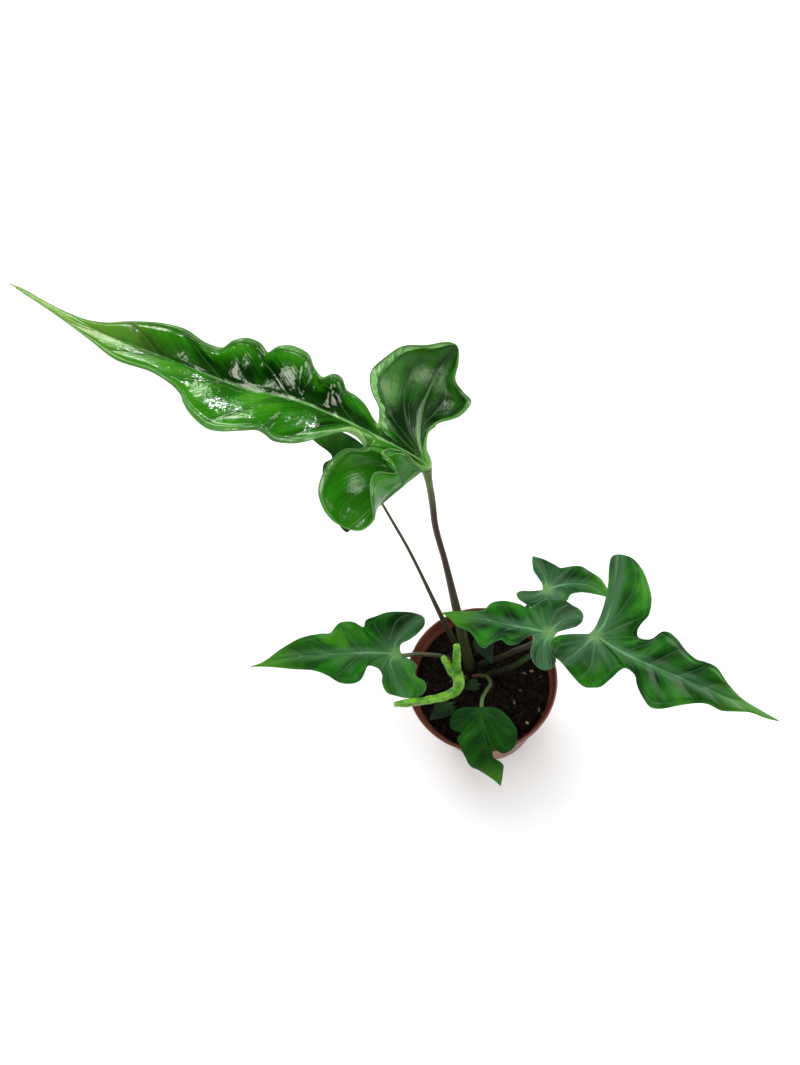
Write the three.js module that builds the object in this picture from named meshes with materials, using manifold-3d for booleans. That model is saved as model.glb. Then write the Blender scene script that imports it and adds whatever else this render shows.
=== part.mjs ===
// A young alocasia in its nursery pot: seven arrow-shaped leaves and a rolled new one, each on its own stalk.
// Millimetres, +Z up. The origin is the middle of the pot's underside.
import * as THREE from 'three';
import { mergeVertices } from 'three/addons/utils/BufferGeometryUtils.js';
import Module from 'manifold-3d';

const wasm = await Module();
wasm.setup();

// Pot and soil
const POT_HEIGHT = 70;
const RIM_RADIUS = 42.5;
const BASE_RADIUS = 30;
const WALL = 1;
const FLOOR = 1.5;
const LIP_DEPTH = 9;
const LIP_STEP = 1.4;
const POT_SIDES = 64;
const DRAIN_HOLES = 8;
const DRAIN_RADIUS = 3;
const DRAIN_RING = 20;
const DRAIN_SIDES = 16;
const EDGE_ROUND = 1;
const LIP_ROUND = 0.5;
const SOIL_LEVEL = 60;
const SOIL_BUMP = 0.55;
const SOIL_RINGS = 9;

// The soil's lumps are three crossing waves: height, pace along x and y in radians a millimetre, and start.
const SOIL_WAVES = [
  [1, 0.31, 0.27, 1.3],
  [0.7, 0.53, -0.47, 0],
  [0.5, 0.83, 0.71, 3.57],
];

// Clearance between neighbouring pieces, the room that the facets of a round wall take, and the depth that a
// stalk stands in the soil
const GAP = 0.35;
const FACET_ROOM = 0.3;
const HOLE_RISE = 8;
const HOLE_SIDES = 12;
const FOOT_DEPTH = 12;
const FOOT_RISE = 2;
const STALK_SIDES = 8;
const LITTLE_SIDES = 6;
const ROLL_SIDES = 10;
const TUBE_STEPS = 2;
const SHEATH_SHARE = 0.6;

// Leaf blades
const BLADE = 0.65;
const KEEL = 0.7;
const LEAST_TURN = 0.3;
const LEAST_SHARE = 0.006;
const WEB = 0.85;

const finishes = {
  pot: { color: 0x9a4a34, roughness: 0.55 },
  soil: { color: 0x2a1d15, roughness: 0.95 },
  rootstock: { color: 0x5b5a30, roughness: 0.8 },
  stalk: { color: 0x5a5438, roughness: 0.5 },
  glossy: { color: 0x1f7a1c, roughness: 0.25 },
  leaf: { color: 0x2b7a3a, roughness: 0.4 },
  dark: { color: 0x1d5a24, roughness: 0.5 },
  fresh: { color: 0x8fd032, roughness: 0.4 },
};

function node(name, geometry, finish) {
  geometry.computeVertexNormals();
  const mesh = new THREE.Mesh(geometry, new THREE.MeshStandardMaterial(finish));
  mesh.name = name;
  return mesh;
}

// Solids, for cutting holes
function closed(geometry) {
  geometry.deleteAttribute('normal');
  geometry.deleteAttribute('uv');
  return mergeVertices(geometry, 1e-4);
}

function solid(geometry) {
  const merged = closed(geometry);
  const mesh = new wasm.Mesh({
    numProp: 3,
    vertProperties: merged.attributes.position.array,
    triVerts: new Uint32Array(merged.index.array),
  });
  return new wasm.Manifold(mesh);
}

function surface(manifold) {
  const mesh = manifold.getMesh();
  const geometry = new THREE.BufferGeometry();
  geometry.setAttribute('position', new THREE.BufferAttribute(mesh.vertProperties, 3));
  geometry.setIndex(new THREE.BufferAttribute(mesh.triVerts, 1));
  return geometry;
}

// Where folds close in a hollow, it has a shell of its own that is turned inside out. The largest shell is the
// piece itself.
function largest(manifold) {
  return manifold.decompose().reduce((a, b) => (a.volume() > b.volume() ? a : b));
}

// A turned solid about the upright axis, from [radius, height] pairs going up the outside.
function turned(profile, sides) {
  const points = profile.map(([radius, height]) => new THREE.Vector2(radius, height));
  const geometry = new THREE.LatheGeometry(points, sides);
  geometry.rotateX(Math.PI / 2);
  return geometry;
}

// Pot: a thin tapered cup with a stepped lip and a ring of drainage holes round its solid middle.
function wallRadius(height) {
  return BASE_RADIUS + ((RIM_RADIUS - LIP_STEP - BASE_RADIUS) * height) / POT_HEIGHT;
}

function potGeometry() {
  const lip = POT_HEIGHT - LIP_DEPTH;
  const outside = [
    [0, 0],
    [BASE_RADIUS - EDGE_ROUND, 0],
    [BASE_RADIUS, EDGE_ROUND],
    [wallRadius(lip), lip],
    [wallRadius(lip) + LIP_STEP, lip + WALL],
    [RIM_RADIUS, POT_HEIGHT - LIP_ROUND],
    [RIM_RADIUS - LIP_ROUND, POT_HEIGHT],
  ];
  const inside = [
    [RIM_RADIUS - LIP_ROUND - WALL, POT_HEIGHT],
    [wallRadius(lip) + LIP_STEP - WALL, lip + 2 * WALL],
    [wallRadius(lip) - WALL, lip],
    [wallRadius(FLOOR) - WALL, FLOOR],
    [0, FLOOR],
  ];
  let pot = solid(turned([...outside, ...inside], POT_SIDES));
  for (let k = 0; k < DRAIN_HOLES; k += 1) {
    const turn = (2 * Math.PI * (k + 0.5)) / DRAIN_HOLES;
    const hole = new THREE.CylinderGeometry(DRAIN_RADIUS, DRAIN_RADIUS, 3 * FLOOR, DRAIN_SIDES);
    hole.rotateX(Math.PI / 2);
    hole.translate(DRAIN_RING * Math.cos(turn), DRAIN_RING * Math.sin(turn), FLOOR / 2);
    pot = pot.subtract(solid(hole));
  }
  return surface(pot);
}

// Soil: fills the pot up to its level, with a lumpy top and a plain hole for each foot.
function soilHeight(x, y) {
  const wave = ([high, paceX, paceY, start]) => high * Math.sin(x * paceX + y * paceY + start);
  return SOIL_LEVEL + SOIL_BUMP * SOIL_WAVES.map(wave).reduce((a, b) => a + b);
}

function hole(x, y, radius) {
  const reach = FOOT_DEPTH + HOLE_RISE;
  const cut = new THREE.CylinderGeometry(radius, radius, reach, HOLE_SIDES);
  cut.rotateX(Math.PI / 2);
  cut.translate(x, y, SOIL_LEVEL - FOOT_DEPTH - GAP + reach / 2);
  return solid(cut);
}

function soilGeometry() {
  const bottom = FLOOR + GAP;
  const top = SOIL_LEVEL;
  const edge = (height) => wallRadius(height) - WALL - GAP - FACET_ROOM;
  const profile = [
    [0, bottom],
    [edge(bottom), bottom],
    [edge(top), top],
  ];
  for (let ring = SOIL_RINGS - 1; ring >= 0; ring -= 1) {
    profile.push([(edge(top) * ring) / SOIL_RINGS, top]);
  }
  const body = turned(profile, POT_SIDES / 2);
  const place = body.attributes.position;
  for (let i = 0; i < place.count; i += 1) {
    const x = place.getX(i);
    const y = place.getY(i);
    if (place.getZ(i) > top - GAP) place.setZ(i, soilHeight(x, y));
  }
  let soil = solid(body);
  for (const { foot, route } of [...Object.values(stalks), ...Object.values(littleLeaves)]) {
    soil = soil.subtract(hole(route[0][0], route[0][1], foot + 2 * GAP));
  }
  soil = soil.subtract(solid(rootstockGeometry(GAP)));
  return surface(soil);
}

// A smooth line through points chosen by hand. At each point it runs as its two neighbours lie.
function lineThrough(points) {
  const far = points.slice(1).map((p, i) => p.distanceTo(points[i]));
  const last = points.length - 1;
  const slope = (i) => {
    const from = Math.max(i - 1, 0);
    const to = Math.min(i + 1, last);
    const run = far.slice(from, to).reduce((a, b) => a + b, 0);
    return points[to].clone().sub(points[from]).divideScalar(run);
  };
  const slopes = points.map((_, i) => slope(i));
  return (i, t) => {
    const a = points[i];
    const b = points[i + 1];
    const h = t * t * (3 - 2 * t);
    const ta = t * (1 - t) * (1 - t) * far[i];
    const tb = t * t * (t - 1) * far[i];
    return a
      .clone()
      .lerp(b, h)
      .addScaledVector(slopes[i], ta)
      .addScaledVector(slopes[i + 1], tb);
  };
}

// A rib: the same line, read by the share of its length.
function rib(points) {
  const line = lineThrough(points);
  const marks = [0];
  for (let i = 1; i < points.length; i += 1) {
    marks.push(marks[i - 1] + points[i].distanceTo(points[i - 1]));
  }
  const whole = marks[marks.length - 1];
  return (share) => {
    const at = share * whole;
    let i = 0;
    while (i < points.length - 2 && marks[i + 1] < at) i += 1;
    return line(i, (at - marks[i]) / (marks[i + 1] - marks[i]));
  };
}

// The side veins: each outline point is fed from the share of the rib that it lies level with.
function shares(points, from, to) {
  const course = to.clone().sub(from).normalize();
  const marks = [0];
  for (let i = 1; i < points.length; i += 1) {
    const step = points[i].clone().sub(points[i - 1]);
    marks.push(marks[i - 1] + Math.max(step.dot(course), LEAST_TURN * step.length()));
  }
  return marks.map((m) => m / marks[marks.length - 1]);
}

// A thin sheet of triangles in patches, whose points are shared where they meet.
class Sheet {
  constructor() {
    this.points = [];
    this.keel = [];
    this.patches = [];
    this.known = new Map();
  }

  point(p, keel) {
    const key = [p.x, p.y, p.z].map((v) => Math.round(v * 5000)).join();
    if (!this.known.has(key)) {
      this.known.set(key, this.points.length);
      this.points.push(p);
      this.keel.push(0);
    }
    const i = this.known.get(key);
    this.keel[i] = Math.max(this.keel[i], keel);
    return i;
  }

  triangle(patch, a, b, c) {
    if (a !== b && b !== c && a !== c) patch.push([a, b, c]);
  }

  // The same triangles on both faces, half the thickness off the sheet. Each patch has a wall round its edge,
  // and the patches then grow together, so that folds that lie on each other fuse and don't cross.
  thicken(thickness) {
    const normals = this.points.map(() => new THREE.Vector3());
    for (const [a, b, c] of this.patches.flat()) {
      const ab = this.points[b].clone().sub(this.points[a]);
      const ac = this.points[c].clone().sub(this.points[a]);
      for (const i of [a, b, c]) normals[i].add(ab.clone().cross(ac));
    }
    normals.forEach((n) => n.normalize());
    const off = (p, i, by) => p.clone().addScaledVector(normals[i], by).toArray();
    const upper = this.points.flatMap((p, i) => off(p, i, thickness / 2));
    const lower = this.points.flatMap((p, i) => off(p, i, -thickness / 2 - this.keel[i]));
    const solids = this.patches.filter((patch) => patch.length > 0).map((patch) => {
      const geometry = new THREE.BufferGeometry();
      geometry.setAttribute('position', new THREE.Float32BufferAttribute([...upper, ...lower], 3));
      geometry.setIndex(this.faces(patch));
      return solid(geometry);
    });
    return surface(largest(solid(surface(largest(wasm.Manifold.union(solids))))));
  }

  faces(patch) {
    const below = this.points.length;
    const sides = ([a, b, c]) => [[a, b], [b, c], [c, a]];
    const around = new Set(patch.flatMap(sides).map(([i, j]) => `${i},${j}`));
    const index = [];
    for (const [a, b, c] of patch) {
      index.push(a, b, c, below + a, below + c, below + b);
      for (const [i, j] of sides([a, b, c])) {
        if (around.has(`${j},${i}`)) continue;
        if (i < j) index.push(j, i, below + j, i, below + i, below + j);
        else index.push(j, i, below + i, j, below + i, below + j);
      }
    }
    return index;
  }
}

// One side of a blade, from the notch behind the stalk round the basal lobe to the tip.
function bladeSide(leaf, side) {
  const spot = ([along, across, lift]) => new THREE.Vector3(along, -across, lift);
  const { inner, outer, blade } = leaf[side];
  const lobeRib = [leaf.midrib[0], ...leaf[side].rib].map(spot);
  const midrib = leaf.midrib.map(spot);
  const lobeTip = lobeRib[lobeRib.length - 1];
  const tip = midrib[midrib.length - 1];
  const margin = [spot(leaf.notch), ...inner.map(spot), lobeTip, ...[...outer, ...blade].map(spot), tip];
  const lobeAt = inner.length + 1;
  const waistAt = lobeAt + outer.length;
  const span = (from, to) => margin.slice(from, to + 1);
  const lobeShares = shares(span(0, lobeAt), lobeRib[0], lobeTip);
  const backShares = shares(span(lobeAt, waistAt), lobeTip, lobeRib[0]).map((s) => 1 - s);
  const start = (WEB * margin[waistAt].x) / tip.x;
  const beyond = shares(span(waistAt, margin.length - 1), midrib[0], tip);
  const bladeShares = beyond.map((s) => start + s * (1 - start));
  return {
    line: lineThrough(margin),
    stretches: [
      { rib: side, at: 0, shares: lobeShares, root: rib(lobeRib), hollow: leaf.hollow ?? 0 },
      { rib: side, at: lobeAt, shares: backShares, root: rib(lobeRib), hollow: leaf.hollow ?? 0 },
      { rib: 'midrib', at: waistAt, shares: bladeShares, root: rib(midrib), hollow: leaf.arch ?? 0 },
    ],
  };
}

// The point of the outline that a share of the rib feeds.
function fedFrom(line, stretch, share) {
  const { shares: s, at } = stretch;
  const rising = s[s.length - 1] > s[0];
  let i = 0;
  while (i < s.length - 2 && (rising ? s[i + 1] < share : s[i + 1] > share)) i += 1;
  const t = (share - s[i]) / (s[i + 1] - s[i]);
  return line(at + i, Math.min(Math.max(t, 0), 1));
}

// A blade: side veins run from a rib to the outline, and the sheet bows between them.
function bladeGeometry(leaf, rows) {
  const sheet = new Sheet();
  const sides = { right: bladeSide(leaf, 'right'), left: bladeSide(leaf, 'left') };
  const base = (0).toFixed(3);
  const marks = { right: new Set([base]), left: new Set([base]), midrib: new Set([base]) };
  for (const { stretches } of Object.values(sides)) {
    for (const s of stretches) s.shares.forEach((share) => marks[s.rib].add(share.toFixed(3)));
  }
  for (const [name, { line, stretches }] of Object.entries(sides)) {
    for (const stretch of stretches) {
      const up = [...marks[stretch.rib]].map(Number).sort((a, b) => a - b);
      const last = up.length - 1;
      const steps = up.filter((share, i) => i === 0 || i === last || share - up[i - 1] > LEAST_SHARE);
      const turned = (name === 'right') === (stretch.shares[0] > 0.5);
      const veins = steps.map((share) => vein(line, stretch, share, rows, turned, sheet));
      for (let i = 1; i < veins.length; i += 1) {
        const patch = [];
        sheet.patches.push(patch);
        for (let j = 0; j < rows; j += 1) {
          const [a, b, c, d] = [veins[i - 1][j], veins[i][j], veins[i][j + 1], veins[i - 1][j + 1]];
          if (turned) {
            sheet.triangle(patch, a, b, c);
            sheet.triangle(patch, a, c, d);
          } else {
            sheet.triangle(patch, a, c, b);
            sheet.triangle(patch, a, d, c);
          }
        }
      }
    }
  }
  return sheet.thicken(BLADE);
}

function vein(line, stretch, share, rows, turned, sheet) {
  const root = stretch.root(share);
  const end = fedFrom(line, stretch, share);
  const width = end.clone().sub(root);
  const ahead = stretch.root(Math.min(share + 0.02, 1)).sub(stretch.root(Math.max(share - 0.02, 0)));
  const normal = ahead.cross(width).normalize().multiplyScalar(turned ? 1 : -1);
  const settle = Math.min(1, 4 * share) * stretch.hollow * width.length();
  const column = [];
  for (let j = 0; j <= rows; j += 1) {
    const s = j / rows;
    const p = root.clone().addScaledVector(width, s).addScaledVector(normal, 4 * s * (1 - s) * settle);
    column.push(sheet.point(p, j === 0 ? KEEL * (1 - share) : 0));
  }
  return column;
}

// A leaf blade in its place: heading and pitch turn its length, roll turns it about its own midrib.
const radians = THREE.MathUtils.degToRad;
function leafBlade(name, leaf, finish, rows = 3) {
  const mesh = node(name, bladeGeometry(leaf, rows), finish);
  mesh.position.set(...leaf.place);
  mesh.rotation.set(radians(-leaf.roll), radians(-leaf.pitch), radians(leaf.heading), 'ZYX');
  return mesh;
}

// A closed tube along a smooth line through hand-placed points. Its radius goes by the share of its course.
function tapered(route, radiusAt, sides) {
  const curve = new THREE.CatmullRomCurve3(route.map((p) => new THREE.Vector3(...p)));
  const steps = TUBE_STEPS * (route.length - 1);
  const across = new THREE.Vector3(1, 0, 0);
  const rings = [];
  for (let k = 0; k <= steps; k += 1) {
    const ahead = curve.getTangent(k / steps);
    across.addScaledVector(ahead, -across.dot(ahead)).normalize();
    const over = ahead.clone().cross(across);
    rings.push({ middle: curve.getPoint(k / steps), across: across.clone(), over });
  }
  const profile = [[0, 0], ...rings.map((_, k) => [1, k / steps]), [0, 1]];
  const tube = closed(turned(profile, sides));
  const place = tube.attributes.position;
  for (let i = 0; i < place.count; i += 1) {
    const k = Math.round(place.getZ(i) * steps);
    const radius = radiusAt(k / steps);
    const { middle, across: right, over } = rings[k];
    const p = middle.clone();
    p.addScaledVector(right, place.getX(i) * radius);
    p.addScaledVector(over, place.getY(i) * radius);
    place.setXYZ(i, p.x, p.y, p.z);
  }
  return tube;
}

// A stalk: the thick sheathing foot narrows to the stem, which then tapers evenly to its top.
function stalkGeometry({ foot, stem, top, route }) {
  const radiusAt = (share) => {
    const narrow = Math.min(share / SHEATH_SHARE, 1);
    const ease = narrow * narrow * (3 - 2 * narrow);
    return foot + (stem - foot) * ease + (top - stem) * share * ease;
  };
  return tapered(route, radiusAt, STALK_SIDES);
}

const leaves = {
  big: {
    place: [-12, 45, 205],
    heading: 153.5,
    pitch: 11.5,
    roll: 8,
    hollow: -0.16,
    arch: 0.05,
    notch: [-2.5, -1.5, 0.5],
    midrib: [
      [0, 0, 0], [10.5, 1, 2], [25.5, 1.5, 3], [41, 3, 3], [63.5, 3.5, 3], [92, -1, 3.5], [124.5, -2, 4],
      [158.5, -2.5, 4.5], [186.5, -2, 3.5], [213, 2, 2], [238.5, 6, 0],
    ],
    right: {
      rib: [[8, 10, -1.5], [13.5, 23, -3], [15.5, 36.5, -3], [14.5, 47, 1], [10, 54.5, 10]],
      inner: [[2.5, 5.5, 1], [5, 12.5, 3.5], [2, 19.5, 4], [-4, 26, 3], [-5.5, 35.5, 2], [-0.5, 38.5, 2],
        [5, 41.5, 4.5], [6.5, 48, 8.5]],
      outer: [[14, 52.5, 13], [21.5, 47, 13.5], [30.5, 42, 14], [35, 34.5, 13.5], [38, 25.5, 12.5],
        [34, 17.5, 11.5], [28, 12.5, 8], [25.5, 6.5, 3]],
      blade: [[30, 9, 3.5], [36, 13.5, 4], [42, 16, 4], [47, 16.5, 5], [50, 19, 9], [53, 18, 11.5],
        [58, 16.5, 7.5],
        [62.5, 19, 3], [66.5, 21.5, 5], [68.5, 22.5, 12], [76, 22.5, 13.5], [83, 21, 11.5], [89, 19, 6.5],
        [93, 20.5, 9], [98, 18.5, 12.5], [104, 15.5, 11], [110, 12.5, 6], [118.5, 11.5, 7],
        [128.5, 12.5, 10],
        [140, 12, 9], [152, 10.5, 6.5], [161.5, 7, 6], [170, 2.5, 6], [182, 0.7, 4.5], [198.5, 1.3, 3],
        [211, 2.8, 2], [225, 4.8, 1.2]],
    },
    left: {
      rib: [[5.5, -4, -4.5], [11, -9.5, -10.5], [15, -18, -13], [17.5, -27, -12.5], [20, -37.5, -11]],
      inner: [[3, -3, 3.5], [6.5, -2.8, 6.5], [11, -2, 6.8], [16, -3, 6], [17.5, -6, 6.5], [12.5, -7, 4.5],
        [9.5, -9.5, 1], [12, -11.5, 2],
        [16.5, -14, 3.5], [17, -18.5, 3.5], [14, -24.5, 1], [10.5, -30, -6], [14, -35.5, -10.5]],
      outer: [[28, -37, -10], [34.5, -33.5, -8.5], [39, -28, -6.5], [40, -20.5, -4], [39, -13.5, -2.5],
        [35.5, -8, -0.5], [27, -5, 2]],
      blade: [[30, -3, 8.5], [35, -5, 12], [43, -10.5, 10], [49.5, -15, 8], [56, -17.5, 5.5],
        [64, -19.5, 5],
        [69, -18.5, 6], [71, -20, 10], [76, -23.5, 11.5], [84.5, -27, 10.5], [92.5, -27.5, 8.5],
        [103.5, -24, 7.5],
        [111, -19.5, 6], [114.5, -16.5, 5.5], [121, -14, 6.5], [132, -13, 8.5], [152, -13.5, 7],
        [172, -8.5, 5],
        [184, -5.5, 4], [196, -2.7, 3], [211, 0.5, 2], [225, 3.1, 1.2]],
    },
  },
  left: {
    place: [-43, 2, 103],
    heading: 177,
    pitch: -9,
    roll: 0,
    hollow: 0.04,
    arch: 0.06,
    notch: [-4, -1.5, 0],
    midrib: [[0, 0, 0], [13.5, 1, 2], [25, 1, 3], [37, 1.5, 3], [61.5, 2, 2.5], [75, 1, 1.5],
      [89, -0.5, 0]],
    right: {
      rib: [[0.5, 5.5, 0], [-3.5, 10.5, 0], [-9, 15.5, 0.5], [-15.5, 19.5, 1.5]],
      inner: [[-2.5, 2, 1], [-3.5, 5, 1.5], [-8, 7, 1.5], [-12.5, 10.5, 1], [-16, 15, 1]],
      outer: [[-9.5, 22.5, 2], [-1, 24, 2], [5.5, 23.5, 3.5], [12, 21.5, 4], [17.5, 20, 3.5],
        [19, 16.5, 2.5]],
      blade: [[24, 18.5, 6], [31, 18.5, 7], [34.5, 16.5, 6], [38.5, 14, 4], [44, 14, 4.5], [55.5, 12, 5.5],
        [68, 7, 4],
        [80, 1.5, 1]],
    },
    left: {
      rib: [[2.5, -4.5, 0.5], [0.5, -10.5, -1], [-2, -16, -2.5], [-7.5, -23.5, -3]],
      inner: [[-9.5, -4.5, 0.5], [-12.5, -8, 0.5], [-11.5, -10.5, 0.5], [-12, -13, -0.5],
        [-16, -15.5, -1.5],
        [-17, -19, -2], [-14.5, -22.5, -2.5]],
      outer: [[-0.5, -22, -2.5], [4, -20.5, -1], [6.5, -15.5, 0.5], [6.5, -11.5, 1], [9, -8, 1.5],
        [15, -6, 1]],
      blade: [[16.5, -11, 2], [18, -15, 3.5], [22, -17, 5.5], [28.5, -16, 6], [36, -11.5, 5.5],
        [45.5, -7.5, 4],
        [59, -5.5, 3.5], [74.5, -2.5, 2]],
    },
  },
  middle: {
    place: [37, 2, 116],
    heading: 157,
    pitch: -13,
    roll: 0,
    hollow: 0.04,
    arch: 0.06,
    notch: [-3, -1, 0],
    midrib: [[0, 0, 0], [7.5, -0.5, 2], [14, -1, 2.5], [24.5, -1, 3], [36, -0.5, 3], [48, -0.5, 2],
      [61, -0.5, 0]],
    right: {
      rib: [[-2.5, 5.5, 0], [-6.5, 10.5, 0], [-14, 13.5, 1]],
      inner: [[-4, 1.5, 0], [-8.5, 4, 0.5], [-12.5, 6.5, 0.5], [-14.5, 9.5, 1]],
      outer: [[-11, 16, 1.5], [-8, 17, 1.5], [-3.5, 19, 1.5], [1.5, 18, 2.5], [5.5, 17, 3.5],
        [9.5, 14, 2.5],
        [13.5, 11, 2]],
      blade: [[18, 11, 4.5], [26, 10.5, 6], [32.5, 8.5, 5], [36, 4.5, 3.5], [44, 2.5, 2.5], [54, 1, 1.5]],
    },
    left: {
      rib: [[0.5, -5.5, 0], [0, -10.5, 0], [-4, -20, 1.5]],
      inner: [[-2.5, -4.5, 0.5], [-4.5, -8.5, 0.5], [-7.5, -13, 1], [-7.5, -17.5, 1.5]],
      outer: [[-0.5, -19.5, 1.5], [3, -17, 2], [5.5, -12, 2], [6, -7, 1.5], [7.5, -3.5, 1.5]],
      blade: [[10, -6, 2], [12.5, -11, 4], [16.5, -12.5, 4.5], [21, -10.5, 4], [24.5, -14, 5.5],
        [27.5, -17.5, 5.5],
        [31.5, -15.5, 4.5], [38.5, -10, 4], [47.5, -7.5, 3], [54, -3.5, 1.5]],
    },
  },
  right: {
    place: [57, -6, 128],
    heading: -23.5,
    pitch: -20,
    roll: -10,
    hollow: 0.07,
    arch: 0.06,
    notch: [-3, 0.5, 0],
    midrib: [[0, 0, 0], [8, 2, 2], [16.5, 3, 3.5], [26.5, 3, 4], [46, 2, 4], [66, 1, 3.5], [81.5, 0.5, 2],
      [94, 0, 0]],
    right: {
      rib: [[-3.5, 6.5, 1], [-6, 12, 0.5], [-10, 18, -2.5]],
      inner: [[-6.5, 2, -1], [-11.5, 4.5, -1.5], [-15.5, 7, -2], [-18, 10.5, -2], [-15.5, 16, -2.5]],
      outer: [[-4, 21, -2.5], [0.5, 23, -3], [4, 24, -2.5], [7, 23, -2], [10.5, 21, -1], [13, 16.5, 0],
        [17, 9, 2]],
      blade: [[22, 10, 3], [24, 14.5, 4.5], [28, 19.5, 6.5], [32, 21.5, 6.5], [36.5, 20, 7], [44, 15, 5.5],
        [50.5, 11, 5], [56.5, 8.5, 4.5], [63.5, 8.5, 4.5], [70, 6, 4.5], [77.5, 3, 2.5], [86, 2, 1.5]],
    },
    left: {
      rib: [[2, -6.5, 0.5], [2, -17.5, 0.5], [1.5, -25, 0.5], [0.5, -34, 0], [-2, -43, 0]],
      inner: [[-1.5, -3, 0], [-1, -10, 0.5], [-1.5, -18.5, 1], [-3, -26.5, 1.5], [-5, -33.5, 1.5],
        [-5.5, -39.5, 1]],
      outer: [[4.5, -43.5, 1], [10.5, -40, 1.5], [15.5, -33, 3], [18.5, -27, 3.5], [19.5, -19.5, 3.5],
        [18, -14.5, 2.5], [17.5, -10.5, 1.5], [19.5, -8, 0.5]],
      blade: [[24, -9, 3], [26.5, -13.5, 6.5], [29.5, -14.5, 7], [34.5, -13.5, 6], [40.5, -10.5, 5],
        [45.5, -8.5, 6], [49.5, -9, 6.5], [55.5, -9, 6], [63, -4.5, 5], [72, -1.5, 3], [83, -0.5, 1.5]],
    },
  },
  back: {
    place: [40, 32, 106],
    heading: -9,
    pitch: -10,
    roll: 0,
    hollow: 0.04,
    arch: 0.05,
    notch: [-2, 0.6, 0],
    midrib: [[0, 0, 0], [7, -3, 1], [15, -5, 1.5], [24, -4.5, 1.5], [35, 0, 0]],
    right: {
      rib: [[-4.5, 4, 0], [-10.5, 6, 0], [-16, 5.5, 0.5]],
      inner: [[-5.3, 1.5, 0], [-9, 2.3, 0], [-13.5, 3, 0]],
      outer: [[-14.5, 8.5, 0.5], [-11.5, 10.5, 1], [-7, 13, 1], [-1.5, 14, 1], [3, 12, 1.5]],
      blade: [[7.5, 10, 2], [10.5, 6.5, 3], [12, 3, 3], [15, 1, 2.5], [20, -0.5, 1.5], [27, -0.5, 1]],
    },
    left: {
      rib: [[-0.5, -6, 0], [-3, -11.5, 0], [-8.5, -18.5, 1.5]],
      inner: [[-2.5, -3, 0], [-5, -6.5, 0.5], [-7.5, -10, 1], [-8.5, -15, 1]],
      outer: [[-6, -18.5, 1.5], [-1.5, -17.5, 1.5], [3.5, -15, 2], [7, -14, 1]],
      blade: [[9.5, -14, 2.5], [13, -14.5, 4], [17.5, -15, 4], [22.5, -13.5, 2.5], [28.5, -10, 2],
        [32, -5.5, 1]],
    },
  },
  front: {
    place: [0, -28, 92],
    heading: -79,
    pitch: -40,
    roll: 0,
    hollow: 0.05,
    arch: 0.06,
    notch: [-2.5, -0.5, 0],
    midrib: [[0, 0, 0], [6, 1, 2], [13.5, 2, 3], [21.5, 2.5, 3], [29, 1.5, 2.5], [41, 0, 0]],
    right: {
      rib: [[-0.5, 5, 0], [0.5, 10, 0], [0.5, 16.5, -1]],
      inner: [[-3, 1.5, 0], [-4, 6.5, -0.5], [-4, 11, -1], [-2.5, 14.5, -1]],
      outer: [[4, 17.5, -0.5], [5.8, 16, 0.5], [8, 12.8, 0.5]],
      blade: [[10, 15.5, 0.5], [12.5, 15.5, 1], [20.5, 14, 1.5], [26, 12.5, 1.5], [29, 9, 1.5], [36, 3, 1]],
    },
    left: {
      rib: [[3, -4.5, 1], [8, -8.5, 2], [12.5, -15, 1.5]],
      inner: [[-1.5, -4, -0.5], [0.5, -8.5, -0.5], [3.5, -11, 0], [8, -13.5, 1]],
      outer: [[16, -14.5, 1.5], [20.5, -12.5, 2], [23, -8.5, 2], [23, -5, 2.5], [19.5, -1, 2.5]],
      blade: [[23.5, 0, 3], [26.5, -2.5, 2.5], [29.5, -4, 2], [33, -3, 1.5], [37.5, -1.5, 0.5]],
    },
  },
  under: {
    place: [-42, 63, 165],
    heading: 138,
    pitch: 22.5,
    roll: 0,
    hollow: 0.04,
    arch: 0.05,
    notch: [-2, 1, 0],
    midrib: [[0, 0, 0], [15.5, 0, 1.5], [33, 0, 2], [52, 0, 0]],
    right: {
      rib: [[-1.5, 9.5, 0], [-2, 21.5, 1.5]],
      inner: [[-2.5, 4, 0.5], [-4, 11.5, 1]],
      outer: [[4, 23, 2.5], [9.5, 18.5, 2.5], [13.5, 12, 1.5]],
      blade: [[23.5, 13.5, 3.5], [35, 11, 4], [46, 5, 1.5]],
    },
    left: {
      rib: [[1, -7, 0], [0.5, -15, 0], [-3.5, -26.5, 2]],
      inner: [[-1, -3, 0.5], [-0.5, -10.5, 1], [-3, -19, 1.5]],
      outer: [[8.5, -24, 3], [23.5, -14.5, 3], [29.5, -8, 2.5], [29, -2.5, 2]],
      blade: [[32, -1.5, 2.5], [38, -2, 2.5], [46, -1.5, 1]],
    },
  },
};

// The underside of a blade where its stalk meets it.
const MEET = 2.2;
function under(leaf) {
  const turn = new THREE.Euler(radians(-leaf.roll), radians(-leaf.pitch), radians(leaf.heading), 'ZYX');
  const below = new THREE.Vector3(0, 0, -MEET).applyEuler(turn);
  return below.add(new THREE.Vector3(...leaf.place)).toArray();
}

const foot = (x, y) => [-FOOT_DEPTH, 0, FOOT_RISE].map((up) => [x, y, SOIL_LEVEL + up]);

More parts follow.
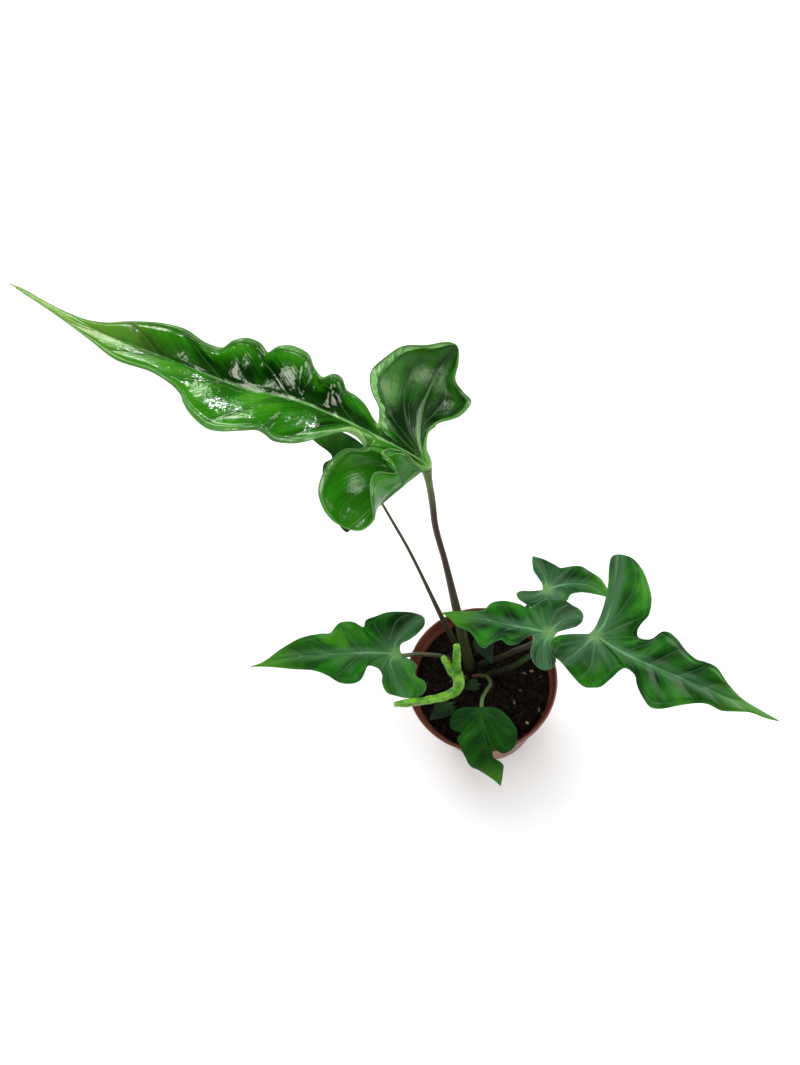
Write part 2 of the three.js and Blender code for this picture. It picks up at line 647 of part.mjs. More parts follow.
const stalks = {
  big: {
    foot: 3.2, stem: 1.9, top: 1.7,
    route: [...foot(-6, 9), [-6.6, 11.4, 67], [-8, 18.5, 75], [-9.5, 29, 90], [-12, 41, 130],
      [-13.5, 44, 157], [-12.5, 45, 180],
      under(leaves.big)],
  },
  left: {
    foot: 1.7, stem: 1.4, top: 1.1,
    route: [...foot(-13, 6.5), [-17.5, 10, 73], [-32, 7, 89], [-40, 3.5, 97], under(leaves.left)],
  },
  middle: {
    foot: 2, stem: 1.8, top: 1.5,
    route: [...foot(0.5, 9.5), [5, 9, 67], [12, 8, 74], [20.5, 6.5, 86], [28, 4, 98], under(leaves.middle)],
  },
  right: {
    foot: 2, stem: 1.6, top: 1.3,
    route: [...foot(4.5, 3.5), [11, 2.5, 68], [20, 1.5, 78], [27, 1, 90], [42, -1.5, 109],
      under(leaves.right)],
  },
  back: {
    foot: 1.7, stem: 1.3, top: 1.1,
    route: [...foot(-2, 15.5), [4, 18, 70], [16, 22, 81], [30, 28.5, 95], under(leaves.back)],
  },
  front: {
    foot: 1.3, stem: 1.1, top: 1,
    route: [...foot(-4, 2.5), [3, -0.5, 69], [5.5, -7, 75], [3, -13, 81], [0.5, -20, 87],
      under(leaves.front)],
  },
  under: {
    foot: 2, stem: 1.3, top: 0.7,
    route: [...foot(-11.5, 13), [-13.5, 20, 69], [-19.5, 31, 86], [-31, 51, 124], [-39.5, 61, 152],
      under(leaves.under)],
  },
  new: {
    foot: 1.4, stem: 1.2, top: 1.2,
    route: [...foot(-9, 2), [-10.5, -4, 75], [-11.5, -12, 89], [-11.2, -16.8, 97.6]],
  },
};

// The young leaf, still rolled: a pointed roll that lies across the pot, bends up and forks in its two lobes.
const roll = {
  blade: [[-43, -27, 108], [-36, -26, 106.5], [-28, -24.5, 104], [-20, -22.5, 101.5], [-14, -20, 100],
    [-10.8, -18, 101.5], [-10, -15, 105], [-11, -12, 110]],
  bladeRadius: [0.9, 1.7, 1.8, 1.9, 2.2, 2.8, 3.4, 3.2],
  longLobe: [[-11, -12.5, 108], [-10.2, -9.5, 112.5], [-9, -6, 117.5], [-8.5, -3, 122]],
  shortLobe: [[-12, -12.5, 108], [-14, -10.5, 112], [-15.8, -8, 116], [-17, -6.5, 119]],
  lobeRadius: [2.6, 2, 1.6, 1],
};

// The radius between the values of a short list that lie evenly along the tube.
const along = (radii) => (share) => {
  const at = share * (radii.length - 1);
  const low = Math.min(Math.floor(at), radii.length - 2);
  return radii[low] + (radii[low + 1] - radii[low]) * (at - low);
};

// Little leaves close to the soil: a heart-shaped blade and its stalk, grown as one.
const littleLeaves = {
  low_leaf: {
    place: [-3.5, -3.4, 64.5], heading: 190, pitch: -6, roll: 0, length: 8.5, width: 7, foot: 0.8,
    route: [...foot(-1.2, -2.6), [-3.5, -3.4, 64.4]],
  },
  edge_leaf: {
    place: [-20, -15, 66], heading: 215, pitch: -8, roll: 6, length: 13, width: 11, foot: 0.9,
    route: [...foot(-17, -12.5), [-20, -15, 65.9]],
  },
  inner_leaf: {
    place: [3, 14, 84], heading: -70, pitch: -22, roll: 0, length: 13, width: 11, foot: 0.9,
    route: [...foot(4.5, 14.5), [4, 14.5, 74], [3, 14, 83.9]],
  },
};

const HEART_NOTCH = 0.1;
const HEART_BOW = 0.05;
const HEART = {
  rib: [[-0.08, 0.12, 0], [-0.24, 0.3, 0.01]],
  inner: [[-0.18, 0.14, 0]],
  outer: [[-0.1, 0.46, 0.02], [0.1, 0.5, 0.03]],
  blade: [[0.35, 0.42, 0.05], [0.7, 0.2, 0.04]],
};

function heart({ length, width }) {
  const sized = (points, turn) => points.map(([u, v, w]) => [u * length, v * width * turn, w * length]);
  const side = (turn) => {
    const lines = Object.entries(HEART).map(([part, points]) => [part, sized(points, turn)]);
    return Object.fromEntries(lines);
  };
  return {
    hollow: 0.03,
    arch: 0.06,
    notch: [-HEART_NOTCH * length, 0, 0],
    midrib: [[0, 0, 0], [length / 2, 0, HEART_BOW * length], [length, 0, 0]],
    right: side(1),
    left: side(-1),
  };
}

function littleLeaf(name, leaf) {
  const blade = leafBlade(name, { ...heart(leaf), ...leaf }, finishes.dark, 2);
  blade.updateMatrix();
  const stalk = tapered(leaf.route, () => leaf.foot, LITTLE_SIDES);
  const grown = solid(blade.geometry.clone().applyMatrix4(blade.matrix)).add(solid(stalk));
  return node(name, surface(grown), finishes.dark);
}

function rollGeometry() {
  const body = solid(tapered(roll.blade, along(roll.bladeRadius), ROLL_SIDES));
  const long = solid(tapered(roll.longLobe, along(roll.lobeRadius), STALK_SIDES));
  const short = solid(tapered(roll.shortLobe, along(roll.lobeRadius), STALK_SIDES));
  return surface(body.add(long).add(short));
}

// Rootstock: the short swollen stem base in the soil that the stalks rise from.
// Its profile goes from the bottom up, as shares of its radius and its height.
const ROOT = { x: -4, y: 8.5, radius: 10, top: SOIL_LEVEL - FOOT_DEPTH - GAP, bottom: 26, sides: 16 };
const ROOT_PROFILE = [[0, 0], [0.45, 0], [0.85, 0.28], [1, 0.68], [0.95, 0.95], [0.9, 1], [0, 1]];
function rootstockGeometry(grow) {
  const low = ROOT.bottom - grow;
  const height = ROOT.top + grow - low;
  const profile = ROOT_PROFILE.map(([wide, up]) => [wide * (ROOT.radius + grow), low + up * height]);
  const geometry = turned(profile, ROOT.sides);
  geometry.translate(ROOT.x, ROOT.y, 0);
  return geometry;
}

const alocasia = new THREE.Group();
alocasia.add(node('pot', potGeometry(), finishes.pot));
alocasia.add(node('soil', soilGeometry(), finishes.soil));
alocasia.add(node('rootstock', rootstockGeometry(0), finishes.rootstock));
const bladeFinish = { big: finishes.glossy, front: finishes.dark, under: finishes.dark };
const bladeRows = { big: 4 };
for (const [name, leaf] of Object.entries(leaves)) {
  alocasia.add(leafBlade(`${name}_blade`, leaf, bladeFinish[name] ?? finishes.leaf, bladeRows[name]));
}
for (const [name, stalk] of Object.entries(stalks)) {
  alocasia.add(node(`${name}_stalk`, stalkGeometry(stalk), finishes.stalk));
}
for (const [name, leaf] of Object.entries(littleLeaves)) alocasia.add(littleLeaf(name, leaf));
alocasia.add(node('new_leaf', rollGeometry(), finishes.fresh));

export default alocasia;
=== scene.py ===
# %% [markdown]
# # A young alocasia in its nursery pot
#
# This plant has seven arrow-shaped leaves and one that is still rolled, each on a stalk of its own, and
# three small leaves low in the pot. All is in metres with Z up, from the middle of the pot's underside. The
# packed model comes first, because each finer piece is fitted to it.

# %% Load the frame
import math
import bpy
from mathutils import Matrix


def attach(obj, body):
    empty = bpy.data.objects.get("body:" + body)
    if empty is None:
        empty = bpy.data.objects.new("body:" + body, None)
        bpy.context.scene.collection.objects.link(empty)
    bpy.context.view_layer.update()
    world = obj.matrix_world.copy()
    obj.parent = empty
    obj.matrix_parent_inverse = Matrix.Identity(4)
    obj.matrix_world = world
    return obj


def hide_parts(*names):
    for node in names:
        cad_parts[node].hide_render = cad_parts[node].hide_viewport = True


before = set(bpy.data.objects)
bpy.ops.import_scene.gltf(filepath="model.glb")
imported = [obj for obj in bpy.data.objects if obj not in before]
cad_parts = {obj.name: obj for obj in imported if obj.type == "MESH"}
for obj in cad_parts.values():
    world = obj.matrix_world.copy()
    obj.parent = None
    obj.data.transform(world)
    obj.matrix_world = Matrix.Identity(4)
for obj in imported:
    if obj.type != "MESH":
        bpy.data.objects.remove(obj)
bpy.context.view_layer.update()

from types import SimpleNamespace

import bpy
import numpy as np
from mathutils import Matrix, Vector

MM = 0.001

# %% [markdown]
# ## Selecting
#
# Blender's operators act on all that is selected, and the frame's nodes are selected when they arrive. So
# each step first selects nothing, and then picks the objects that it works on.


# %% Pick objects
def clear():
    bpy.ops.object.select_all(action="DESELECT")


def pick(*objects):
    clear()
    for thing in objects:
        thing.select_set(True)
    bpy.context.view_layer.objects.active = objects[-1]


clear()
print("selected:", len(bpy.context.selected_objects))

# %% [markdown]
# ## Camera
#
# The plant is seen from above and in front, from about half a metre away. The camera's three directions are
# vectors, and become the columns of its turning matrix.

# %% Camera
EYE = Vector((0.0114, -0.1283, 0.4098))
AHEAD = Vector((-0.1389, 0.5561, -0.8194)).normalized()
UPWARDS = Vector((0.0929, 0.8311, 0.5483))
FOCAL_PIXELS = 620
FRAME_HEIGHT = 1065
SENSOR = 36

bpy.ops.object.camera_add()
camera = bpy.context.object
camera.name = "view_from_above"
camera.data.sensor_fit = "VERTICAL"
camera.data.sensor_height = SENSOR
camera.data.sensor_width = SENSOR
camera.data.lens = SENSOR * FOCAL_PIXELS / FRAME_HEIGHT
camera.data.clip_start = 0.01
right_hand = AHEAD.cross(UPWARDS).normalized()
overhead = right_hand.cross(AHEAD)
turned = Matrix((right_hand, overhead, -AHEAD)).transposed().to_4x4()
camera.matrix_world = Matrix.Translation(EYE) @ turned
bpy.context.scene.camera = camera
print("lens:", round(camera.data.lens, 2), "mm")

# %% [markdown]
# ## Light
#
# A leaf's gloss is the picture of a lamp in its skin. Broad lamps and white surroundings light the plant,
# but a leaf that mirrors them turns grey, so they are hidden from gloss. Other lamps show in the gloss
# alone: a small bright one draws thin sparks on the waves, and four broad ones give the sheen.

# %% Lamps
PLANT_MIDDLE = Vector((-0.03, 0.05, 0.13))
SHEEN_TINT = (0.94, 1, 0.82)


def lamp(name, kind, place, power, shows, **settings):
    """shows is "light" for a lamp that lights the skin and "gloss" for one that is mirrored in it."""
    bpy.ops.object.light_add(type=kind, location=place)
    made = bpy.context.object
    made.name = name
    made.data.energy = power
    for key, value in settings.items():
        setattr(made.data, key, value)
    made.visible_diffuse = shows == "light"
    made.visible_glossy = shows == "gloss"
    made.rotation_euler = (PLANT_MIDDLE - Vector(place)).to_track_quat("-Z", "Y").to_euler()


lamp("window_sun", "SUN", (-0.5, 1.3, 1.6), 1.3, "light", angle=math.radians(40))
lamp("overhead_lamp", "AREA", (0.1, 0.2, 1.1), 5, "light", size=0.7)
lamp("spark", "SUN", (-0.2, 0.75, 1.3), 0.7, "gloss", angle=math.radians(2))
for number, place, power, size in (
        (1, (-0.5, 0.9, 0.84), 3, 0.35),
        (2, (-0.54, -0.43, 1.05), 4, 0.38),
        (3, (0.36, -0.45, 0.99), 3.4, 0.4),
        (4, (0.85, 0.25, 0.25), 9, 0.8)):
    lamp(f"sheen_{number}", "AREA", place, power, "gloss", shape="DISK", size=size, color=SHEEN_TINT)

# %% [markdown]
# ## White room
#
# The surroundings are plain white. They light the leaves from all sides.

# %% Surroundings
world = bpy.data.worlds.new("white_room")
world.use_nodes = True
background = world.node_tree.nodes["Background"].inputs
background["Color"].default_value = (1, 1, 1, 1)
background["Strength"].default_value = 0.75
world.cycles_visibility.glossy = False
bpy.context.scene.world = world
bpy.context.scene.view_settings.view_transform = "Standard"
print("surroundings:", world.name)

# %% [markdown]
# ## Shader maths
#
# Written as plain sums, `mask * 0.5 + grain`, a finish reads like the maths that it is. A Wire holds one
# socket and knows the operators, each of which adds a Math node.


# %% Wires
def maths(operation, swapped=False):
    def act(self, other=0.0):
        first, second = (other, self) if swapped else (self, other)
        return self.finish.node("Math", {"operation": operation}, {0: first, 1: second})

    return act


class Wire:
    __add__ = __radd__ = maths("ADD")
    __mul__ = __rmul__ = maths("MULTIPLY")
    __sub__, __rsub__ = maths("SUBTRACT"), maths("SUBTRACT", swapped=True)
    __abs__, wrap = maths("ABSOLUTE"), maths("FRACT")
    least, most = maths("MINIMUM"), maths("MAXIMUM")

    def __init__(self, finish, socket):
        self.finish, self.socket = finish, socket

    def ramp(self, low, high):
        """0 up to low, 1 from high on, and smooth between them."""
        settings = {"interpolation_type": "SMOOTHSTEP"}
        return self.finish.node("MapRange", settings, {"Value": self, "From Min": low, "From Max": high})

    def line(self, width):
        """1 where the value is nought, falling to 0 at the width."""
        return 1 - abs(self).ramp(width * 0.35, width)


print("reflected operators:", [n for n in vars(Wire) if n.startswith("__r")])

# %% [markdown]
# ## Finishes
#
# A Finish makes nodes and ends in a Principled surface. One method makes any node from its type, its
# settings and its sockets, and the others are short names for what is used often.


# %% Finishes
class Finish:
    def __init__(self, name):
        self.material = bpy.data.materials.new(name)
        self.material.use_nodes = True
        self.tree = self.material.node_tree
        self.tree.nodes.clear()

    def node(self, kind, settings, sockets, output=0):
        made = self.tree.nodes.new("ShaderNode" + kind)
        for key, value in settings.items():
            setattr(made, key, value)
        for key, value in sockets.items():
            if isinstance(value, Wire):
                self.tree.links.new(value.socket, made.inputs[key])
            else:
                made.inputs[key].default_value = value
        return None if output is None else Wire(self, made.outputs[output])

    def value(self, name):
        return self.node("Attribute", {"attribute_name": name}, {}, 2)

    def place(self):
        return self.node("TexCoord", {}, {}, 3)

    def chart(self, name, part):
        both = self.node("UVMap", {"uv_map": name}, {})
        return self.node("SeparateXYZ", {}, {0: both}, part)

    def vector(self, x, y):
        return self.node("CombineXYZ", {}, {0: x, 1: y})

    def noise(self, scale, detail=3.0, vector=None):
        sockets = {"Vector": vector or self.place(), "Scale": scale, "Detail": detail}
        return self.node("TexNoise", {}, sockets)

    def stretched(self, scale, detail, stretch):
        """Noise that is drawn long or short along each direction."""
        place = self.node("Mapping", {}, {"Vector": self.place(), "Scale": stretch})
        return self.noise(scale, detail, place)

    def mix(self, share, first, second):
        pair = [c if isinstance(c, Wire) else (*c, 1.0) for c in (first, second)]
        return self.node("Mix", {"data_type": "RGBA"}, {0: share, 6: pair[0], 7: pair[1]}, 2)

    def surface(self, tone, rough, gloss=0.5, height=None, depth=0.0, more=None):
        """height and depth raise the skin by a bump, and more holds any further sockets."""
        sockets = {"Base Color": tone, "Roughness": rough, "Specular IOR Level": gloss, **(more or {})}
        if height is not None:
            sockets["Normal"] = self.node("Bump", {}, {"Height": height, "Distance": depth})
        shader = self.node("BsdfPrincipled", {}, sockets)
        self.node("OutputMaterial", {}, {"Surface": shader}, None)
        return self.material


print("short names:", [n for n in vars(Finish) if not n.startswith("__")])

# %% [markdown]
# ## Smooth lines
#
# Outlines, ribs and stalks are smooth lines through a few points. At each point the line runs the way its
# two neighbours lie, which lets no corner show.


# %% A line through points
class Line:
    def __init__(self, points):
        self.points = np.array(points, float)
        self.far = np.linalg.norm(np.diff(self.points, axis=0), axis=1)
        self.marks = np.concatenate(([0], np.cumsum(self.far)))
        at = np.arange(len(self.points))
        low, high = np.maximum(at - 1, 0), np.minimum(at + 1, at[-1])
        run = (self.marks[high] - self.marks[low])[:, None]
        self.slopes = (self.points[high] - self.points[low]) / run

    def at(self, where):
        """The place at 2.5 is half-way from point 2 to point 3."""
        i = np.clip(np.floor(where).astype(int), 0, len(self.far) - 1)
        t = (where - i)[..., None]
        far = self.far[i][..., None]
        even = t * t * (3 - 2 * t)
        leave = t * (1 - t) ** 2 * far
        arrive = t * t * (t - 1) * far
        start, end = self.points[i], self.points[i + 1]
        return start + (end - start) * even + self.slopes[i] * leave + self.slopes[i + 1] * arrive

    def share(self, part):
        """The place at a share of the whole length."""
        return self.at(np.interp(part * self.marks[-1], self.marks, np.arange(len(self.marks))))


print("half-way along a bend:", Line([(0, 0, 0), (1, 1, 0), (2, 0, 0)]).share(np.array(0.5)))

# %% [markdown]
# ## Sheets from a grid
#
# Every thin or round part starts as a flat grid. Its points are carried to their places, and what was
# measured on the way, such as the distance to the nearest rib, is kept on them for the finishes.


# %% Lay a grid
def keep(thing, name, values):
    layer = thing.data.attributes.new(name, "FLOAT", "POINT")
    layer.data.foreach_set("value", values.astype(np.float32))


def lay(name, columns, rows, carry, flip=False):
    """carry takes shares of the way along the rows and columns, and gives places and measures."""
    clear()
    bpy.ops.mesh.primitive_grid_add(x_subdivisions=columns, y_subdivisions=rows, size=1)
    made = bpy.context.object
    made.name = made.data.name = name
    flat = np.zeros(len(made.data.vertices) * 3)
    made.data.vertices.foreach_get("co", flat)
    u, v = flat.reshape(-1, 3)[:, :2].T + 0.5
    places, measures = carry(np.clip(u, 0, 1), np.clip(v, 0, 1))
    made.data.vertices.foreach_set("co", places.ravel())
    if "vein" in measures:
        corners = np.zeros(len(made.data.loops), int)
        made.data.loops.foreach_get("vertex_index", corners)
        chart = np.stack((measures["vein"], measures["span"]), axis=1)[corners]
        made.data.uv_layers[0].name = "veins"
        made.data.uv_layers[0].data.foreach_set("uv", chart.ravel())
    for key, values in measures.items():
        keep(made, key, values)
    if flip:
        made.data.flip_normals()
    made.data.update()
    return made


# %% [markdown]
# ## Joining and smoothing
#
# In joined sheets the points that lie on each other are made one, so the skin runs on over the seam. Only
# edges sharper than an angle stay sharp.

# %% Join and smooth
SEAM = 2e-5
NO_LENGTH = 1e-6


def join(pieces):
    pick(*pieces)
    if len(pieces) > 1:
        bpy.ops.object.join()
    made = bpy.context.object
    bpy.ops.object.mode_set(mode="EDIT")
    bpy.ops.mesh.select_all(action="SELECT")
    bpy.ops.mesh.remove_doubles(threshold=SEAM)
    bpy.ops.mesh.dissolve_degenerate(threshold=NO_LENGTH)
    bpy.ops.object.mode_set(mode="OBJECT")
    return made


def smooth(thing, angle):
    pick(thing)
    bpy.ops.object.shade_smooth_by_angle(angle=math.radians(angle))


print("points closer than", SEAM / MM, "mm become one")

# %% [markdown]
# ## Modifiers led by numbers
#
# A vertex group says how strongly a modifier acts on each point. Its weights come from an array, in fine
# steps.

# %% Weights and modifiers
LEVELS = 200


def weights(thing, name, values):
    group = thing.vertex_groups.new(name=name)
    steps = np.round(np.clip(values, 0, 1) * LEVELS).astype(int)
    for step in np.unique(steps[steps > 0]):
        group.add(np.flatnonzero(steps == step).tolist(), float(step) / LEVELS, "REPLACE")


def measured(thing, name):
    values = np.zeros(len(thing.data.vertices), np.float32)
    thing.data.attributes[name].data.foreach_get("value", values)
    return values


def settle(thing, kind, **settings):
    """Adds a modifier, sets it and applies it."""
    pick(thing)
    made = thing.modifiers.new(kind.title(), kind)
    for key, value in settings.items():
        setattr(made, key, value)
    bpy.ops.object.modifier_apply(modifier=made.name)


print("steps in a vertex group:", LEVELS)

# %% [markdown]
# ## Leaf outlines
#
# Each leaf is drawn lying flat, in millimetres: along its midrib, across it with the right side positive,
# and up. A side's margin runs from the notch behind the stalk round the basal lobe (inner, tip, outer) and
# along the blade to the tip. Its height is the wave that gives this plant its frill.

# %% Outline of the big leaf
leaves = {}
leaves["big"] = dict(
    place=(-12, 45, 205), heading=153.5, pitch=11.5, roll=8, hollow=-0.16, arch=0.05, notch=(-2.5, -1.5, 0.5),
    midrib=[(0, 0, 0), (10.5, 1, 2), (25.5, 1.5, 3), (41, 3, 3), (63.5, 3.5, 3), (92, -1, 3.5),
        (124.5, -2, 4), (158.5, -2.5, 4.5), (186.5, -2, 3.5), (213, 2, 2), (238.5, 6, 0)],
    right=dict(
        rib=[(8, 10, -1.5), (13.5, 23, -3), (15.5, 36.5, -3), (14.5, 47, 1), (10, 54.5, 10)],
        inner=[(2.5, 5.5, 1), (5, 12.5, 3.5), (2, 19.5, 4), (-4, 26, 3), (-5.5, 35.5, 2), (-0.5, 38.5, 2),
            (5, 41.5, 4.5), (6.5, 48, 8.5)],
        outer=[(14, 52.5, 13), (21.5, 47, 13.5), (30.5, 42, 14), (35, 34.5, 13.5), (38, 25.5, 12.5),
            (34, 17.5, 11.5), (28, 12.5, 8), (25.5, 6.5, 3)],
        blade=[(30, 9, 3.5), (36, 13.5, 4), (42, 16, 4), (47, 16.5, 5), (50, 19, 9), (53, 18, 11.5),
            (58, 16.5, 7.5), (62.5, 19, 3), (66.5, 21.5, 5), (68.5, 22.5, 12), (76, 22.5, 13.5),
            (83, 21, 11.5), (89, 19, 6.5), (93, 20.5, 9), (98, 18.5, 12.5), (104, 15.5, 11), (110, 12.5, 6),
            (118.5, 11.5, 7), (128.5, 12.5, 10), (140, 12, 9), (152, 10.5, 6.5), (161.5, 7, 6),
            (170, 2.5, 6), (182, 0.7, 4.5), (198.5, 1.3, 3), (211, 2.8, 2), (225, 4.8, 1.2)]),
    left=dict(
        rib=[(5, -5, -6), (10, -11, -12.5), (14, -19, -15), (17, -27.5, -13.5), (20, -37.5, -11)],
        inner=[(3, -3, 3.5), (6.5, -2.8, 6.5), (11, -2, 6.8), (16, -3, 6), (17.5, -6, 6.5), (12.5, -7, 4.5),
            (9.5, -9.5, 1), (12, -11.5, 2), (16.5, -14, 3.5), (17, -18.5, 3.5), (14, -24.5, 1),
            (10.5, -30, -6), (14, -35.5, -10.5)],
        outer=[(28, -37, -10), (34.5, -33.5, -8.5), (39, -28, -6.5), (40, -20.5, -4), (39, -13.5, -2.5),
            (35.5, -8, -0.5), (27, -5, 2)],
        blade=[(30, -3, 8.5), (35, -5, 12), (43, -10.5, 10), (49.5, -15, 8), (56, -17.5, 5.5),
            (64, -19.5, 5), (69, -18.5, 6), (71, -20, 10), (76, -23.5, 11.5), (84.5, -27, 10.5),
            (92.5, -27.5, 8.5), (103.5, -24, 7.5), (111, -19.5, 6), (114.5, -16.5, 5.5), (121, -14, 6.5),
            (132, -13, 8.5), (152, -13.5, 7), (172, -8.5, 5), (184, -5.5, 4), (196, -2.7, 3), (211, 0.5, 2),
            (225, 3.1, 1.2)]),
)
print("points on the big leaf's margin:", sum(
    len(leaves["big"][side][part]) for side in ("left", "right") for part in ("inner", "outer", "blade")))

# %% [markdown]
# ## Leaves of medium size
#
# The others are drawn the same way, and no two of their lobes are alike. A leaf also has its place, where
# its ribs meet, and the angles at which it heads, pitches and rolls.

# %% Outlines of the left leaf and the middle leaf
leaves["left"] = dict(
    place=(-43, 2, 103), heading=177, pitch=-9, roll=0, hollow=0.04, arch=0.06, notch=(-4, -1.5, 0),
    midrib=[(0, 0, 0), (13.5, 1, 2), (25, 1, 3), (37, 1.5, 3), (61.5, 2, 2.5), (75, 1, 1.5), (89, -0.5, 0)],
    right=dict(
        rib=[(0.5, 5.5, 0), (-3.5, 10.5, 0), (-9, 15.5, 0.5), (-15.5, 19.5, 1.5)],
        inner=[(-2.5, 2, 1), (-3.5, 5, 1.5), (-8, 7, 1.5), (-12.5, 10.5, 1), (-16, 15, 1)],
        outer=[(-9.5, 22.5, 2), (-1, 24, 2), (5.5, 23.5, 3.5), (12, 21.5, 4), (17.5, 20, 3.5),
            (19, 16.5, 2.5)],
        blade=[(24, 18.5, 6), (31, 18.5, 7), (34.5, 16.5, 6), (38.5, 14, 4), (44, 14, 4.5), (55.5, 12, 5.5),
            (68, 7, 4), (80, 1.5, 1)]),
    left=dict(
        rib=[(2.5, -4.5, 0.5), (0.5, -10.5, -1), (-2, -16, -2.5), (-7.5, -23.5, -3)],
        inner=[(-9.5, -4.5, 0.5), (-12.5, -8, 0.5), (-11.5, -10.5, 0.5), (-12, -13, -0.5),
            (-16, -15.5, -1.5), (-17, -19, -2), (-14.5, -22.5, -2.5)],
        outer=[(-0.5, -22, -2.5), (4, -20.5, -1), (6.5, -15.5, 0.5), (6.5, -11.5, 1), (9, -8, 1.5),
            (15, -6, 1)],
        blade=[(16.5, -11, 2), (18, -15, 3.5), (22, -17, 5.5), (28.5, -16, 6), (36, -11.5, 5.5),
            (45.5, -7.5, 4), (59, -5.5, 3.5), (74.5, -2.5, 2)]),
)
leaves["middle"] = dict(
    place=(37, 2, 116), heading=157, pitch=-13, roll=0, hollow=0.04, arch=0.06, notch=(-3, -1, 0),
    midrib=[(0, 0, 0), (7.5, -0.5, 2), (14, -1, 2.5), (24.5, -1, 3), (36, -0.5, 3), (48, -0.5, 2),
        (61, -0.5, 0)],
    right=dict(
        rib=[(-2.5, 5.5, 0), (-6.5, 10.5, 0), (-14, 13.5, 1)],
        inner=[(-4, 1.5, 0), (-8.5, 4, 0.5), (-12.5, 6.5, 0.5), (-14.5, 9.5, 1)],
        outer=[(-11, 16, 1.5), (-8, 17, 1.5), (-3.5, 19, 1.5), (1.5, 18, 2.5), (5.5, 17, 3.5),
            (9.5, 14, 2.5), (13.5, 11, 2)],
        blade=[(18, 11, 4.5), (26, 10.5, 6), (32.5, 8.5, 5), (36, 4.5, 3.5), (44, 2.5, 2.5), (54, 1, 1.5)]),
    left=dict(
        rib=[(0.5, -5.5, 0), (0, -10.5, 0), (-4, -20, 1.5)],
        inner=[(-2.5, -4.5, 0.5), (-4.5, -8.5, 0.5), (-7.5, -13, 1), (-7.5, -17.5, 1.5)],
        outer=[(-0.5, -19.5, 1.5), (3, -17, 2), (5.5, -12, 2), (6, -7, 1.5), (7.5, -3.5, 1.5)],
        blade=[(10, -6, 2), (12.5, -11, 4), (16.5, -12.5, 4.5), (21, -10.5, 4), (24.5, -14, 5.5),
            (27.5, -17.5, 5.5), (31.5, -15.5, 4.5), (38.5, -10, 4), (47.5, -7.5, 3), (54, -3.5, 1.5)]),
)
print("leaves so far:", list(leaves))

# %% [markdown]
# ## Leaves over the rim
#
# The right leaf has one long lobe and one short, domed lobe. The back leaf is half hidden behind it.

# %% Outlines of the right leaf and the back leaf
leaves["right"] = dict(
    place=(57, -6, 128), heading=-23.5, pitch=-20, roll=-10, hollow=0.07, arch=0.06, notch=(-3, 0.5, 0),
    midrib=[(0, 0, 0), (8, 2, 2), (16.5, 3, 3.5), (26.5, 3, 4), (46, 2, 4), (66, 1, 3.5), (81.5, 0.5, 2),
        (94, 0, 0)],
    right=dict(
        rib=[(-3.5, 6.5, 1), (-6, 12, 0.5), (-10, 18, -2.5)],
        inner=[(-6.5, 2, -1), (-11.5, 4.5, -1.5), (-15.5, 7, -2), (-18, 10.5, -2), (-15.5, 16, -2.5)],
        outer=[(-4, 21, -2.5), (0.5, 23, -3), (4, 24, -2.5), (7, 23, -2), (10.5, 21, -1), (13, 16.5, 0),
            (17, 9, 2)],
        blade=[(22, 10, 3), (24, 14.5, 4.5), (28, 19.5, 6.5), (32, 21.5, 6.5), (36.5, 20, 7), (44, 15, 5.5),
            (50.5, 11, 5), (56.5, 8.5, 4.5), (63.5, 8.5, 4.5), (70, 6, 4.5), (77.5, 3, 2.5), (86, 2, 1.5)]),
    left=dict(
        rib=[(2, -6.5, 0.5), (2, -17.5, 0.5), (1.5, -25, 0.5), (0.5, -34, 0), (-2, -43, 0)],
        inner=[(-1.5, -3, 0), (-1, -10, 0.5), (-1.5, -18.5, 1), (-3, -26.5, 1.5), (-5, -33.5, 1.5),
            (-5.5, -39.5, 1)],
        outer=[(4.5, -43.5, 1), (10.5, -40, 1.5), (15.5, -33, 3), (18.5, -27, 3.5), (19.5, -19.5, 3.5),
            (18, -14.5, 2.5), (17.5, -10.5, 1.5), (19.5, -8, 0.5)],
        blade=[(24, -9, 3), (26.5, -13.5, 6.5), (29.5, -14.5, 7), (34.5, -13.5, 6), (40.5, -10.5, 5),
            (45.5, -8.5, 6), (49.5, -9, 6.5), (55.5, -9, 6), (63, -4.5, 5), (72, -1.5, 3),
            (83, -0.5, 1.5)]),
)
leaves["back"] = dict(
    place=(40, 32, 106), heading=-9, pitch=-10, roll=0, hollow=0.04, arch=0.05, notch=(-2, 0.6, 0),
    midrib=[(0, 0, 0), (7, -3, 1), (15, -5, 1.5), (24, -4.5, 1.5), (35, 0, 0)],
    right=dict(
        rib=[(-4.5, 4, 0), (-10.5, 6, 0), (-16, 5.5, 0.5)],
        inner=[(-5.3, 1.5, 0), (-9, 2.3, 0), (-13.5, 3, 0)],
        outer=[(-14.5, 8.5, 0.5), (-11.5, 10.5, 1), (-7, 13, 1), (-1.5, 14, 1), (3, 12, 1.5)],
        blade=[(7.5, 10, 2), (10.5, 6.5, 3), (12, 3, 3), (15, 1, 2.5), (20, -0.5, 1.5), (27, -0.5, 1)]),
    left=dict(
        rib=[(-0.5, -6, 0), (-3, -11.5, 0), (-8.5, -18.5, 1.5)],
        inner=[(-2.5, -3, 0), (-5, -6.5, 0.5), (-7.5, -10, 1), (-8.5, -15, 1)],
        outer=[(-6, -18.5, 1.5), (-1.5, -17.5, 1.5), (3.5, -15, 2), (7, -14, 1)],
        blade=[(9.5, -14, 2.5), (13, -14.5, 4), (17.5, -15, 4), (22.5, -13.5, 2.5), (28.5, -10, 2),
            (32, -5.5, 1)]),
)
print("leaves so far:", list(leaves))

